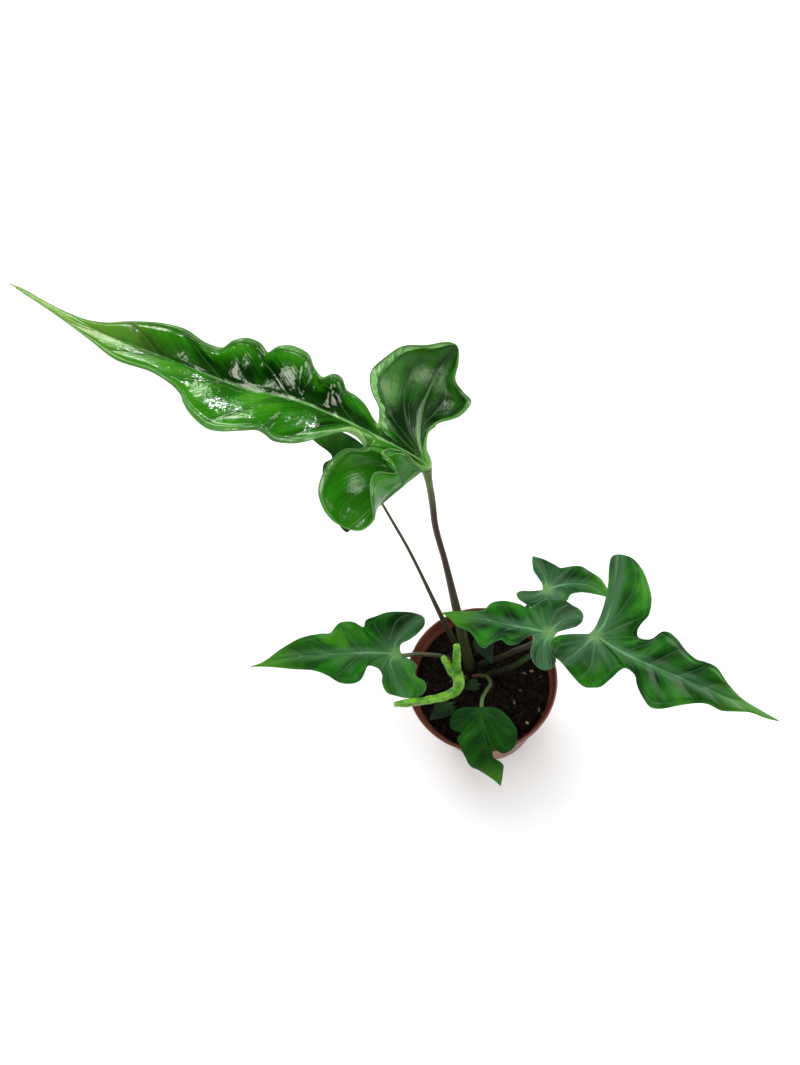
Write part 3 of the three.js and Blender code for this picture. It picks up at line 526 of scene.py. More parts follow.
# %% [markdown]
# ## Leaves that hang
#
# The front leaf hangs over the rim of the pot. Another small leaf hides under the big one.

# %% Outlines of the front leaf and the leaf under the big one
leaves["front"] = dict(
    place=(0, -28, 92), heading=-79, pitch=-40, roll=0, hollow=0.05, arch=0.06, notch=(-2.5, -0.5, 0),
    midrib=[(0, 0, 0), (6, 1, 2), (13.5, 2, 3), (21.5, 2.5, 3), (29, 1.5, 2.5), (41, 0, 0)],
    right=dict(
        rib=[(-0.5, 5, 0), (0.5, 10, 0), (0.5, 16.5, -1)],
        inner=[(-3, 1.5, 0), (-4, 6.5, -0.5), (-4, 11, -1), (-2.5, 14.5, -1)],
        outer=[(4, 17.5, -0.5), (5.8, 16, 0.5), (8, 12.8, 0.5)],
        blade=[(10, 15.5, 0.5), (12.5, 15.5, 1), (20.5, 14, 1.5), (26, 12.5, 1.5), (29, 9, 1.5),
            (36, 3, 1)]),
    left=dict(
        rib=[(3, -4.5, 1), (8, -8.5, 2), (12.5, -15, 1.5)],
        inner=[(-1.5, -4, -0.5), (0.5, -8.5, -0.5), (3.5, -11, 0), (8, -13.5, 1)],
        outer=[(16, -14.5, 1.5), (20.5, -12.5, 2), (23, -8.5, 2), (23, -5, 2.5), (19.5, -1, 2.5)],
        blade=[(23.5, 0, 3), (26.5, -2.5, 2.5), (29.5, -4, 2), (33, -3, 1.5), (37.5, -1.5, 0.5)]),
)
leaves["under"] = dict(
    place=(-42, 63, 165), heading=138, pitch=22.5, roll=0, hollow=0.04, arch=0.05, notch=(-2, 1, 0),
    midrib=[(0, 0, 0), (15.5, 0, 1.5), (33, 0, 2), (52, 0, 0)],
    right=dict(
        rib=[(-1.5, 9.5, 0), (-2, 21.5, 1.5)],
        inner=[(-2.5, 4, 0.5), (-4, 11.5, 1)],
        outer=[(4, 23, 2.5), (9.5, 18.5, 2.5), (13.5, 12, 1.5)],
        blade=[(23.5, 13.5, 3.5), (35, 11, 4), (46, 5, 1.5)]),
    left=dict(
        rib=[(1, -7, 0), (0.5, -15, 0), (-3.5, -26.5, 2)],
        inner=[(-1, -3, 0.5), (-0.5, -10.5, 1), (-3, -19, 1.5)],
        outer=[(8.5, -24, 3), (23.5, -14.5, 3), (29.5, -8, 2.5), (29, -2.5, 2)],
        blade=[(32, -1.5, 2.5), (38, -2, 2.5), (46, -1.5, 1)]),
)
print("leaves:", len(leaves))

# %% [markdown]
# ## Small leaves
#
# Three little leaves sit low in the pot. They are plain hearts, so one recipe serves all three.


# %% Hearts
def heart(length, width, **place):
    def scaled(points, turn):
        return [(u * length, v * width * turn, w * length) for u, v, w in points]

    def half(turn):
        return dict(
            rib=scaled([(-0.08, 0.12, 0), (-0.24, 0.3, 0.01)], turn),
            inner=scaled([(-0.18, 0.14, 0)], turn),
            outer=scaled([(-0.1, 0.46, 0.02), (0.1, 0.5, 0.03)], turn),
            blade=scaled([(0.35, 0.42, 0.05), (0.7, 0.2, 0.04)], turn))

    return dict(place, hollow=0.03, arch=0.06, notch=(-0.1 * length, 0, 0), right=half(1), left=half(-1),
                midrib=[(0, 0, 0), (0.5 * length, 0, 0.05 * length), (length, 0, 0)])


leaves["low"] = heart(8.5, 7, place=(-3.5, -3.4, 64.5), heading=190, pitch=-6, roll=0)
leaves["edge"] = heart(13, 11, place=(-20, -15, 66), heading=215, pitch=-8, roll=6)
leaves["inner"] = heart(13, 11, place=(3, 14, 84), heading=-70, pitch=-22, roll=0)
print("all leaves:", len(leaves))

# %% [markdown]
# ## From ribs to margin
#
# Side veins run from a rib to the margin. So each point of the margin gets the share of the rib that it
# lies level with, and the kinks in the run of shares are evened out.

# %% Where each vein ends
LEAST_TURN = 0.3


def shares(points, start, end):
    course = (end - start) / np.linalg.norm(end - start)
    steps = np.diff(points, axis=0)
    gain = np.maximum(steps @ course, LEAST_TURN * np.linalg.norm(steps, axis=1))
    marks = np.concatenate(([0], np.cumsum(gain)))
    return marks / marks[-1]


def eased(values, reach):
    """Evens out the kinks of a run of values and keeps both its ends."""
    window = np.hanning(2 * reach + 3)[1:-1]
    before = 2 * values[0] - values[reach:0:-1]
    after = 2 * values[-1] - values[-2:-reach - 2:-1]
    return np.convolve(np.concatenate((before, values, after)), window / window.sum(), "valid")


print("shares:", shares(np.array([(0.0, 1), (1, 1), (4, 1)]), np.zeros(2), np.array((1.0, 0))))

# %% [markdown]
# ## A sheet between a rib and the margin
#
# The grid's columns are veins and its rows run along the leaf. Neighbouring sheets share their edge points.
# The skin is bowed between a rib and the margin, most of all half-way.

# %% Sheets
WEB = 0.85
FINE = np.linspace(0, 1, 801)
EASE = 9
LOOK_AHEAD = 0.02
BOW_START = 4


class Stretch:
    """One sheet: a rib, the piece of margin that it feeds, and how much the skin bows between."""

    def __init__(self, rib, margin, first, marks, bow, turned):
        self.rib, self.margin, self.bow, self.turned = rib, margin, bow, turned
        order = np.argsort(marks)
        self.ends = eased(np.interp(FINE, marks[order], (first + np.arange(len(marks)))[order]), EASE)

    def at(self, u, v):
        root = self.rib.share(u)
        width = self.margin.at(np.interp(u, FINE, self.ends)) - root
        far = np.linalg.norm(width, axis=1)
        ahead = (self.rib.share(np.minimum(u + LOOK_AHEAD, 1))
                 - self.rib.share(np.maximum(u - LOOK_AHEAD, 0)))
        normal = np.cross(ahead, width)
        normal /= np.maximum(np.linalg.norm(normal, axis=1), 1e-9)[:, None]
        lift = 4 * v * (1 - v) * np.minimum(1, BOW_START * u) * self.bow * far * (1 if self.turned else -1)
        return root + width * v[:, None] + normal * lift[:, None], far


def stretches(leaf, side):
    """The three sheets of a side: the lobe's inner and outer half, and the blade."""
    def spots(points):
        return np.array(points, float) * (1, -1, 1)

    half = leaf[side]
    lobe = spots([leaf["midrib"][0], *half["rib"]])
    midrib = spots(leaf["midrib"])
    margin = np.vstack((spots([leaf["notch"], *half["inner"]]), lobe[-1:],
                        spots(half["outer"] + half["blade"]), midrib[-1:]))
    tip_at = len(half["inner"]) + 1
    waist_at = tip_at + len(half["outer"])
    start = WEB * margin[waist_at][0] / midrib[-1][0]
    inner = shares(margin[:tip_at + 1], lobe[0], lobe[-1])
    outer = 1 - shares(margin[tip_at:waist_at + 1], lobe[-1], lobe[0])
    blade = start + (1 - start) * shares(margin[waist_at:], midrib[0], midrib[-1])
    right = side == "right"
    edge = Line(margin)
    return [
        Stretch(Line(lobe), edge, 0, inner, leaf["hollow"], not right),
        Stretch(Line(lobe), edge, tip_at, outer, leaf["hollow"], right),
        Stretch(Line(midrib), edge, waist_at, blade, leaf["arch"], not right),
    ]


print("sheets in a leaf:", 2 * len(stretches(leaves["big"], "right")))

# %% [markdown]
# ## Hanging a leaf in its place
#
# A leaf was drawn flat. It rolls about its midrib, pitches up or down and heads its own way.


# %% Place a leaf
def turning(leaf):
    heading = Matrix.Rotation(math.radians(leaf["heading"]), 3, "Z")
    pitch = Matrix.Rotation(math.radians(-leaf["pitch"]), 3, "Y")
    roll = Matrix.Rotation(math.radians(-leaf["roll"]), 3, "X")
    return np.array(heading @ pitch @ roll)


def placed(leaf, points):
    return (np.array(leaf["place"]) + points @ turning(leaf).T) * MM


print("foot of the big leaf:", placed(leaves["big"], np.zeros((1, 3))).round(4))

# %% [markdown]
# ## What a point of a blade knows
#
# Each point keeps how far it is from its rib and from the edge, and its number among the side veins, which
# follow each other on the blade and fan out on a lobe.

# %% A blade's measures
ROW_EASE = 1.15
SLANT = 0.75
FAN = 0.85
FAN_SPREAD = 1.2
LEAST_COLUMNS = 8


def blade_sheet(name, leaf, side, part, stretch, step, rows, veins, lobe_veins):
    right = side == "right"
    on_blade = part == 2

    def carry(u, v):
        v = v ** ROW_EASE
        points, far = stretch.at(u, v)
        base = np.linalg.norm(points, axis=1)
        if on_blade:
            vein = veins * u - SLANT * v
            gap = np.full_like(u, stretch.rib.marks[-1] / veins)
        else:
            vein = lobe_veins * FAN * np.arctan2(v, FAN_SPREAD * u + 1e-6) / (np.pi / 2)
            gap = FAN_SPREAD / lobe_veins * np.maximum(base, 1)
        lengths = {"rib": far * v, "edge": far * (1 - v), "gap": gap, "width": far, "base": base}
        measures = {key: value * MM for key, value in lengths.items()}
        measures.update(vein=vein, span=v, along=u if on_blade else -u,
                        half=np.full_like(u, right), fold=np.full_like(u, right and part == 1))
        return placed(leaf, points), measures

    columns = max(LEAST_COLUMNS, int(stretch.rib.marks[-1] / step))
    return lay(name, columns, rows, carry, flip=not stretch.turned)


print("number of the last vein on the big leaf's lobe:", 4 * FAN)

# %% [markdown]
# ## Puffed skin
#
# Close up, the skin swells between the side veins like a quilt, and rolls up just inside the margin. The
# Displace modifier lifts it as far as a vertex group says.

# %% Puff up the skin
COLLECTING_VEIN = 0.87
LIFT_MOST = 1.8
ROLL_AT = 0.935
ROLL_WIDE = 0.04
FOLD_IN = 0.03
FOLD_WIDER = 0.02


def hump(away, wide):
    return np.exp(-(away / wide) ** 2)


def upto(values, reach):
    return np.clip(values / reach, 0, 1)


def puff_up(made, puff, lobe_puff, rim, crinkle):
    vein, span, along, width, base, fold = (
        measured(made, key) for key in ("vein", "span", "along", "width", "base", "fold"))
    inside = upto(span, 0.14) * upto(COLLECTING_VEIN - span, 0.14)
    on_lobe = upto(-along, 0.1)
    quilt = (puff + (lobe_puff - puff) * on_lobe) * np.abs(np.sin(np.pi * vein)) ** 0.7 * inside
    folds = 1 + crinkle * fold * np.sin(10 * np.pi * vein)
    roll = hump(span - ROLL_AT + FOLD_IN * fold, ROLL_WIDE + FOLD_WIDER * fold)
    roll *= rim * folds * (1 + 0.5 * fold) * upto(base, 12 * MM)
    weights(made, "puff", (quilt + roll) * upto(width, 12 * MM) / LIFT_MOST)
    settle(made, "DISPLACE", vertex_group="puff", strength=LIFT_MOST * MM, mid_level=0)


print("the skin rises by up to", LIFT_MOST, "mm")

# %% [markdown]
# ## Thickness
#
# The Solidify modifier makes the skin thin at the margin and thickest along the ribs, where it stands a
# little proud above and makes a keel below.

# %% Thicken the skin
SKIN = 0.55
EDGE_SKIN = 0.3
KEEL_ROOM = 1.3
INWARDS = -0.6


def thicken(made, keel):
    rib, edge, along, base = (measured(made, key) for key in ("rib", "edge", "along", "base"))
    half_keel = (0.5 + 0.45 * keel) * (1 - 0.6 * np.abs(along)) * MM
    ridge = hump(rib, half_keel) * (1 - 0.85 * np.abs(along))
    collar = 0.9 * hump(base, 3 * MM)
    keel_most = SKIN + KEEL_ROOM * keel
    thick = EDGE_SKIN + (SKIN - EDGE_SKIN) * upto(edge, 2.5 * MM) + keel * np.maximum(ridge, collar)
    weights(made, "thick", thick / keel_most)
    settle(made, "SOLIDIFY", vertex_group="thick", thickness=keel_most * MM, offset=INWARDS, use_rim=True,
           material_offset=1, material_offset_rim=2)


print("thickness at the margin:", EDGE_SKIN, "mm, between the veins:", SKIN, "mm")

# %% [markdown]
# ## Building the blades
#
# Six sheets are joined, puffed up and thickened. Each row holds a column's width, the number of rows, the
# side veins of the blade and of a lobe, and the heights of the puffed blade, the puffed lobe, the rolled
# margin and the keel. The big leaf's outer lobe is crinkled as well.


# %% Blades
def blade(name, leaf, step, rows, veins, lobe_veins, puff, lobe_puff, rim, keel, crinkle=0.0):
    made = join([blade_sheet(name, leaf, side, part, stretch, step, rows, veins, lobe_veins)
                 for side in ("right", "left") for part, stretch in enumerate(stretches(leaf, side))])
    made.name = made.data.name = name
    puff_up(made, puff, lobe_puff, rim, crinkle)
    thicken(made, keel)
    smooth(made, 60)
    print(name, "triangles:", sum(len(p.vertices) - 2 for p in made.data.polygons))
    return made


BLADES = {
    "big": (0.85, 44, 7, 4, 0.8, 0.22, 1.0, 2.2, 0.45),
    "left": (0.6, 26, 5, 3, 0.7, 0.35, 0.15, 0.9),
    "middle": (0.6, 26, 4, 3, 0.6, 0.3, 0.15, 0.9),
    "right": (0.6, 26, 7, 3, 0.8, 0.45, 0.15, 0.9),
    "back": (0.6, 22, 4, 3, 0.3, 0.2, 0.05, 0.6),
    "front": (0.6, 24, 4, 3, 0.5, 0.3, 0.1, 0.6),
    "under": (0.7, 24, 5, 3, 0.3, 0.3, 0.1, 0.7),
    "low": (0.4, 12, 3, 2, 0.12, 0.12, 0, 0.4),
    "edge": (0.5, 14, 3, 2, 0.15, 0.15, 0, 0.4),
    "inner": (0.5, 14, 3, 2, 0.15, 0.15, 0, 0.4),
}
blades = {key: blade(f"{key}_leaf_blade", leaves[key], *numbers) for key, numbers in BLADES.items()}

# %% [markdown]
# ## Tubes
#
# A stalk, a bead or the rolled leaf is a grid that is rolled up along a line. One direction goes round, the
# other goes along, and both ends close to a point.


# %% Tubes
def tube(name, route, radius_at, around=24, along=80):
    line = Line(route)
    middles = line.share(np.linspace(0, 1, along + 1))
    ahead = np.gradient(middles, axis=0)
    ahead /= np.linalg.norm(ahead, axis=1)[:, None]
    sides = np.zeros_like(middles)
    across = np.array((1.0, 0, 0))
    for k, way in enumerate(ahead):
        across = across - way * (across @ way)
        across /= np.linalg.norm(across)
        sides[k] = across
    overs = np.cross(ahead, sides)

    def carry(u, v):
        k = np.round(v * along).astype(int)
        turn = 2 * np.pi * u
        closed = np.where((k == 0) | (k == along), 0.0, 1.0)
        radius = radius_at(u, v) * closed
        out = np.cos(turn)[:, None] * sides[k] + np.sin(turn)[:, None] * overs[k]
        return (middles[k] + out * radius[:, None]) * MM, {"rise": v, "girth": radius}

    made = join([lay(name, around, along, carry)])
    smooth(made, 70)
    return made


def girths(radii):
    """The radius along a tube, from a short list of radii that lie evenly along it."""
    return lambda u, v: np.interp(v, np.linspace(0, 1, len(radii)), radii)


print("radius half-way:", girths([1, 2, 5])(0, 0.5))

# %% [markdown]
# ## Stalks
#
# A stalk is round and fleshy with faint ridges, and widest where it sheathes the crown. It starts in the
# soil and ends inside its leaf. Each row holds its radius at the foot, half-way and at the top, the place
# of its foot, and the points it passes.

# %% Stalks
SOIL_LEVEL = 60
FOOT_DEPTH = 12
FOOT_RISE = 2
SHEATH_SHARE = 0.6
RIDGES = 0.05
RIDGE_COUNT = 5
FLARE_SHARE = 0.045


def foot(x, y):
    return [(x, y, SOIL_LEVEL + up) for up in (-FOOT_DEPTH, 0, FOOT_RISE)]


def under(leaf, depth):
    return tuple(placed(leaf, np.array([(0, 0, -depth)]))[0] / MM)


def stalk(name, foot_radius, stem, top, route, flare, along):
    def radius_at(u, v):
        narrow = np.clip(v / SHEATH_SHARE, 0, 1)
        ease = narrow * narrow * (3 - 2 * narrow)
        plain = foot_radius + (stem - foot_radius) * ease + (top - stem) * v * ease
        plain = plain + flare * hump(1 - v, FLARE_SHARE)
        return plain * (1 + RIDGES * np.cos(2 * np.pi * (RIDGE_COUNT * u + 0.6 * v)) * (0.4 + 0.6 * v))

    return tube(name, route, radius_at, along=along)


STALKS = {
    "big": ((3.5, 1.75, 1.6), (-6, 9), [
        (-6.6, 11.4, 67), (-8, 18.5, 75), (-9.5, 29, 90), (-12, 41, 130), (-13.5, 44, 157),
        (-12.5, 45, 180)]),
    "left": ((1.7, 1.4, 1.1), (-13, 6.5), [(-17.5, 10, 73), (-32, 7, 89), (-40, 3.5, 97)]),
    "middle": ((2, 1.8, 1.5), (0.5, 9.5), [(5, 9, 67), (12, 8, 74), (20.5, 6.5, 86), (28, 4, 98)]),
    "right": ((2, 1.6, 1.3), (4.5, 3.5), [(11, 2.5, 68), (20, 1.5, 78), (27, 1, 90), (42, -1.5, 109)]),
    "back": ((1.7, 1.3, 1.1), (-2, 15.5), [(4, 18, 70), (16, 22, 81), (30, 28.5, 95)]),
    "front": ((1.3, 1.1, 1), (-4, 2.5), [(3, -0.5, 69), (5.5, -7, 75), (3, -13, 81), (0.5, -20, 87)]),
    "under": ((2, 1.3, 0.7), (-11.5, 13), [
        (-13.5, 20, 69), (-19.5, 31, 86), (-31, 51, 124), (-39.5, 61, 152)]),
    "new": ((1.4, 1.2, 1.2), (-9, 2), [(-10.5, -4, 75), (-11.5, -12, 89), (-11.2, -16.8, 97.6)]),
    "low": ((0.8, 0.8, 0.7), (-1.2, -2.6), [(-3.5, -3.4, 64.4)]),
    "edge": ((0.9, 0.9, 0.8), (-17, -12.5), [(-20, -15, 65.9)]),
    "inner": ((0.9, 0.9, 0.8), (4.5, 14.5), [(4, 14.5, 74), (3, 14, 83.9)]),
}
RINGS = {"big": 160, "under": 140, "low": 40, "edge": 40, "inner": 50}
ENDS_HERE = ("new", "low", "edge", "inner")
stalks = {}
for key, (radii, at, points) in STALKS.items():
    top = [] if key in ENDS_HERE else [under(leaves[key], 1.2 if key == "big" else 0.9)]
    stalks[key] = stalk("tall_stalk" if key == "big" else f"{key}_leaf_stalk", *radii,
                        [*foot(*at), *points, *top], 0.9 if key == "big" else 0, RINGS.get(key, 90))
print("stalks:", len(stalks))

# %% [markdown]
# ## Rolled margins and the collar
#
# The big leaf ends in a fine pale bead, which swells where a wave curls over and shows the underside. A
# thicker tube runs round the notch between the lobes, where the leaf joins its stalk.

# %% Beads along the margin
BEAD = 0.3
BEAD_END = 0.03


def bead(name, leaf, side, swells):
    """swells are (which point of the margin, how many points it spans, how much thicker it is there)."""
    margin = stretches(leaf, side)[0].margin
    marks = margin.marks / margin.marks[-1]

    def radius_at(u, v):
        where = np.interp(v, marks, np.arange(len(marks)))
        ends = np.clip(np.minimum(v, 1 - v) / BEAD_END, 0.2, 1)
        return BEAD * ends + sum(more * hump(where - at, wide) for at, wide, more in swells)

    return tube(name, placed(leaf, margin.points) / MM, radius_at, 10, 420)


COLLAR = [(3, -17, 4), (5, -12.5, 3.5), (3, -5.5, 1.2), (-1.5, 0, 0.2), (-0.5, 3, 1.5), (4, 3.4, 4),
          (8, 3, 6)]
beads = [
    bead("upper_margin", leaves["big"], "right", [(17, 0.6, 0.9), (24.6, 0.7, 0.8), (34, 0.8, 0.4)]),
    bead("lower_margin", leaves["big"], "left", [(22.2, 1.1, 1.3), (5, 0.8, 0.4)]),
]
leaf_collar = tube("leaf_collar", placed(leaves["big"], np.array(COLLAR)) / MM,
                   girths([0.3, 0.5, 0.9, 1.5, 1.2, 0.7, 0.4]), 20, 80)
print("on the margin:", [b.name for b in (*beads, leaf_collar)])

# %% [markdown]
# ## The rolled leaf
#
# The youngest leaf is rolled up like a paper cone. It lies across the pot and bends up at the stalk, where
# its two lobes point on as short horns. Its free edge is a furrow that winds along it.

# %% Rolled leaf
SEAM_AT = 0.3
SEAM_WIDE = 0.04
SEAM_DEEP = 0.16
OVERLAP = 0.1


def rolled(name, route, radii, seam_turn, around=40, along=120):
    size = girths(radii)

    def radius_at(u, v):
        seam = (u - SEAM_AT - seam_turn * v) % 1
        lap = 1 + OVERLAP * seam - SEAM_DEEP * hump(np.minimum(seam, 1 - seam), SEAM_WIDE)
        bumps = 0.05 * np.sin(14 * np.pi * v + 4 * np.pi * u) + 0.04 * np.sin(31 * v + 6 * np.pi * u)
        return size(u, v) * (lap + bumps)

    return tube(name, route, radius_at, around, along)


rolled_leaf = join([
    rolled("roll_body", [(-43, -27, 108), (-36, -26, 106.5), (-28, -24.5, 104), (-20, -22.5, 101.5),
                         (-14, -20, 100), (-10.8, -18, 101.5), (-10, -15, 105), (-11, -12, 110)],
           [1.1, 1.9, 1.8, 1.9, 2.1, 2.5, 2.9, 2.9], 0.5),
    rolled("roll_long", [(-11, -12.5, 108), (-10.2, -9.5, 112.5), (-9.2, -6, 117.5), (-8.8, -3, 121.5)],
           [2.6, 2.2, 1.9, 1.6], 0.4, 28, 60),
    rolled("roll_short", [(-12, -12.5, 108), (-13.8, -10.5, 111.5), (-15.4, -8.6, 115), (-16.4, -7.4, 117.5)],
           [2.6, 2.2, 1.8, 1.2], 0.4, 28, 60),
])
rolled_leaf.name = rolled_leaf.data.name = "rolled_leaf"
smooth(rolled_leaf, 70)
print("rolled leaf points:", len(rolled_leaf.data.vertices))

# %% [markdown]
# ## Soil
#
# A round grid runs out over the top, down the wall and in again over the floor. Waves of many lengths,
# drawn at random from one seed, make its lumps, so that every run gives the same soil.

# %% Ground
RIM_RADIUS = 42.5
BASE_RADIUS = 30
POT_HEIGHT = 70
WALL = 1
FLOOR = 1.5
LIP_DEPTH = 9
LIP_STEP = 1.4
GAP = 0.35
SOIL_BUMP = 0.55
CRUMBLE = 0.16
TOP_SHARE = 0.8
SIDE_SHARE = 0.6
CALM_EDGE = 1.5
rng = np.random.default_rng(7)
WAVES = [(rng.uniform(0.8, 3.2), rng.uniform(0, 2 * np.pi), rng.uniform(0, 6)) for _ in range(26)]


def wall_radius(height):
    return BASE_RADIUS + (RIM_RADIUS - LIP_STEP - BASE_RADIUS) * height / POT_HEIGHT


def soil_radius(height):
    return wall_radius(height) - WALL - GAP


def soil_height(x, y):
    lumps = (np.sin(x * 0.31 + y * 0.27 + 1.3) + 0.7 * np.sin(x * 0.53 - y * 0.47)
             + 0.5 * np.sin(x * 0.83 + y * 0.71 + 3.57))
    return SOIL_LEVEL + SOIL_BUMP * lumps


def crumble(x, y):
    return CRUMBLE * sum(np.sin(pace * (x * np.cos(way) + y * np.sin(way)) + phase) / pace
                         for pace, way, phase in WAVES)


def ground(u, v):
    turn = 2 * np.pi * u
    edge, low = soil_radius(SOIL_LEVEL), FLOOR + GAP
    top = v < TOP_SHARE
    depth = (v - TOP_SHARE) / (1 - TOP_SHARE)
    down = SOIL_LEVEL + (low - SOIL_LEVEL) * upto(depth, SIDE_SHARE)
    floor_reach = soil_radius(low) * (1 - (depth - SIDE_SHARE) / (1 - SIDE_SHARE))
    below = np.where(depth <= SIDE_SHARE, soil_radius(down), floor_reach)
    reach = np.where(top, v / TOP_SHARE * edge, below)
    x, y = reach * np.cos(turn), reach * np.sin(turn)
    rough = soil_height(x, y) - SOIL_LEVEL + crumble(x, y)
    rough *= np.clip((edge - reach) / CALM_EDGE, 0.2, 1)
    height = np.where(top, SOIL_LEVEL + rough, down)
    return np.stack((x, y, height), axis=1) * MM, {}


soil_ground = join([lay("soil_ground", 260, 150, ground)])
smooth(soil_ground, 60)
print("ground points:", len(soil_ground.data.vertices))

# %% [markdown]
# ## Crumbs and chips
#
# Each crumb or chip of bark is a small ball whose points are pushed in and out, flattened and turned at
# random. The pale chips have places of their own, and all the others are scattered.

# %% Scatter crumbs and chips
CRUMB_ROUGH = 0.25
CRUMB_LEAN = 0.6
CRUMB_RISE = 0.1
OFF_WALL = 3
PALE_CHIPS = [(29.4, 4.1, 1.5, 0.95), (24.7, 3.2, 1.1, 0.7), (23.7, -25.5, 1.3, 1.0), (32.4, -21.6, 1.2, 0.5),
              (17.3, -13.4, 1.5, 0.35), (21.4, -6.7, 1.1, 0.3), (30.5, -18.0, 1.3, 0.45),
              (-20.5, 16.0, 1.2, 0.4)]


def crumb(name, place, size, squash, tone, seed):
    clear()
    bpy.ops.mesh.primitive_ico_sphere_add(subdivisions=2, radius=1)
    made = bpy.context.object
    made.name = name
    local = np.random.default_rng(seed)
    points = np.array([v.co for v in made.data.vertices])
    points *= 1 + CRUMB_ROUGH * local.standard_normal((len(points), 1))
    points *= (1, *squash)
    spin = Matrix.Rotation(local.uniform(0, 2 * math.pi), 3, "Z")
    lean = Matrix.Rotation(local.uniform(-CRUMB_LEAN, CRUMB_LEAN), 3, "X")
    points = (points * size) @ np.array(spin @ lean).T + place
    made.data.vertices.foreach_set("co", (points * MM).ravel())
    keep(made, "tone", np.full(len(points), tone))
    return made


def scatter(name, count, sizes, squash, tones=(0, 1), placed_too=()):
    """placed_too holds places, sizes and tones of pieces that aren't left to chance."""
    spots = list(placed_too)
    for _ in range(count):
        reach = (wall_radius(SOIL_LEVEL) - OFF_WALL) * math.sqrt(rng.uniform(0, 1))
        turn = rng.uniform(0, 2 * math.pi)
        size, tone = rng.uniform(*sizes), rng.uniform(*tones)
        spots.append((reach * math.cos(turn), reach * math.sin(turn), size, tone))
    made = []
    for k, (x, y, size, tone) in enumerate(spots):
        height = soil_height(x, y) + CRUMB_RISE * size
        made.append(crumb(f"{name}_{k}", (x, y, height), size, squash, tone, int(rng.integers(1e6))))
    pick(*made)
    bpy.ops.object.join()
    whole = bpy.context.object
    whole.name = whole.data.name = name
    smooth(whole, 40)
    return whole


crumbs = scatter("soil_crumbs", 420, (0.5, 1.7), (0.8, 0.6))
chips = scatter("bark_chips", 36, (0.6, 1.5), (0.55, 0.4), (0, 0.16), PALE_CHIPS)
print("crumbs:", len(crumbs.data.vertices), "chips:", len(chips.data.vertices))

# %% [markdown]
# ## Pot
#
# A nursery pot is a tapered cup of thin plastic with a stepped band and a turned lip. Its profile is drawn
# once, out and back down the inside, and spun round the axis.

# %% Pot
LIP = POT_HEIGHT - LIP_DEPTH
AT_LIP = wall_radius(LIP)
AT_FLOOR = wall_radius(FLOOR) - WALL
outside = [(wall_radius(height), height) for height in (20, 40, LIP)]
inside = [(radius - WALL, height) for radius, height in reversed(outside)]
profile = [
    (0, 0.6), (16, 0.6), (16.6, 0), (BASE_RADIUS - 1, 0), (BASE_RADIUS - 0.3, 0.3), (BASE_RADIUS, 1),
    *outside, (AT_LIP + LIP_STEP * 0.8, LIP + 0.5), (AT_LIP + LIP_STEP, LIP + 1.1),
    (RIM_RADIUS - 0.15, POT_HEIGHT - 1.6), (RIM_RADIUS, POT_HEIGHT - 0.9),
    (RIM_RADIUS - 0.1, POT_HEIGHT - 0.3), (RIM_RADIUS - 0.5, POT_HEIGHT),
    (RIM_RADIUS - 1.0, POT_HEIGHT - 0.1), (RIM_RADIUS - 1.35, POT_HEIGHT - 0.6),
    (AT_LIP + LIP_STEP - WALL, LIP + 2), *inside,
    (AT_FLOOR, FLOOR + 0.6), (AT_FLOOR - 0.6, FLOOR), (0, FLOOR),
]


def spun(u, v):
    turn = 2 * np.pi * u
    where = v * (len(profile) - 1)
    radius, height = (np.interp(where, np.arange(len(profile)), column) for column in np.transpose(profile))
    return np.stack((radius * np.cos(turn), radius * np.sin(turn), height), axis=1) * MM, {}


pot = join([lay("nursery_pot", 160, 2 * (len(profile) - 1), spun)])
smooth(pot, 40)
print("pot points:", len(pot.data.vertices))

# %% [markdown]
# ## Drainage holes
#
# Eight short rods stand where the holes go, and the Boolean modifier takes them away from the pot.

# %% Drainage holes
DRAIN_HOLES = 8
DRAIN_RADIUS = 3
DRAIN_RING = 20
DRILL_LENGTH = 6
drills = []
for k in range(DRAIN_HOLES):
    turn = 2 * math.pi * (k + 0.5) / DRAIN_HOLES
    spot = (DRAIN_RING * math.cos(turn) * MM, DRAIN_RING * math.sin(turn) * MM, FLOOR / 2 * MM)
    clear()
    bpy.ops.mesh.primitive_cylinder_add(
        vertices=32, radius=DRAIN_RADIUS * MM, depth=DRILL_LENGTH * MM, location=spot)
    drills.append(bpy.context.object)
pick(*drills)
bpy.ops.object.join()
drill = bpy.context.object
settle(pot, "BOOLEAN", operation="DIFFERENCE", object=drill, solver="EXACT")
bpy.data.objects.remove(drill)
print("pot points with holes:", len(pot.data.vertices))

# %% [markdown]
# ## What the skin can read
#
# A finish reads the measures that were kept on the blade, and adds a cloud, a fine grain and a streak along
# the side veins. How far a point is from the nearest side vein follows from its vein number and from the
# gap between two veins.


# %% Read the blade
def off_vein(vein, gap):
    return abs((vein + 0.5).wrap() - 0.5) * gap


def times(colour, factor):
    return [part * factor for part in colour]


def read_blade(f):
    known = ("rib", "edge", "gap", "along", "base", "half", "fold")
    at = SimpleNamespace(**{key: f.value(key) for key in known})
    at.vein, at.span = f.chart("veins", 0), f.chart("veins", 1)
    at.cloud, at.grain = f.noise(38), f.noise(700, 2)
    at.streak = f.noise(1, 4, f.vector(at.vein * 26, at.span * 2.2))
    at.off_vein = off_vein(at.vein, at.gap)
    at.up_blade, at.on_lobe = at.along.most(0), (at.along * -1).ramp(0, 0.1)
    return at


print("twice a colour:", times((0.1, 0.2, 0.05), 2))
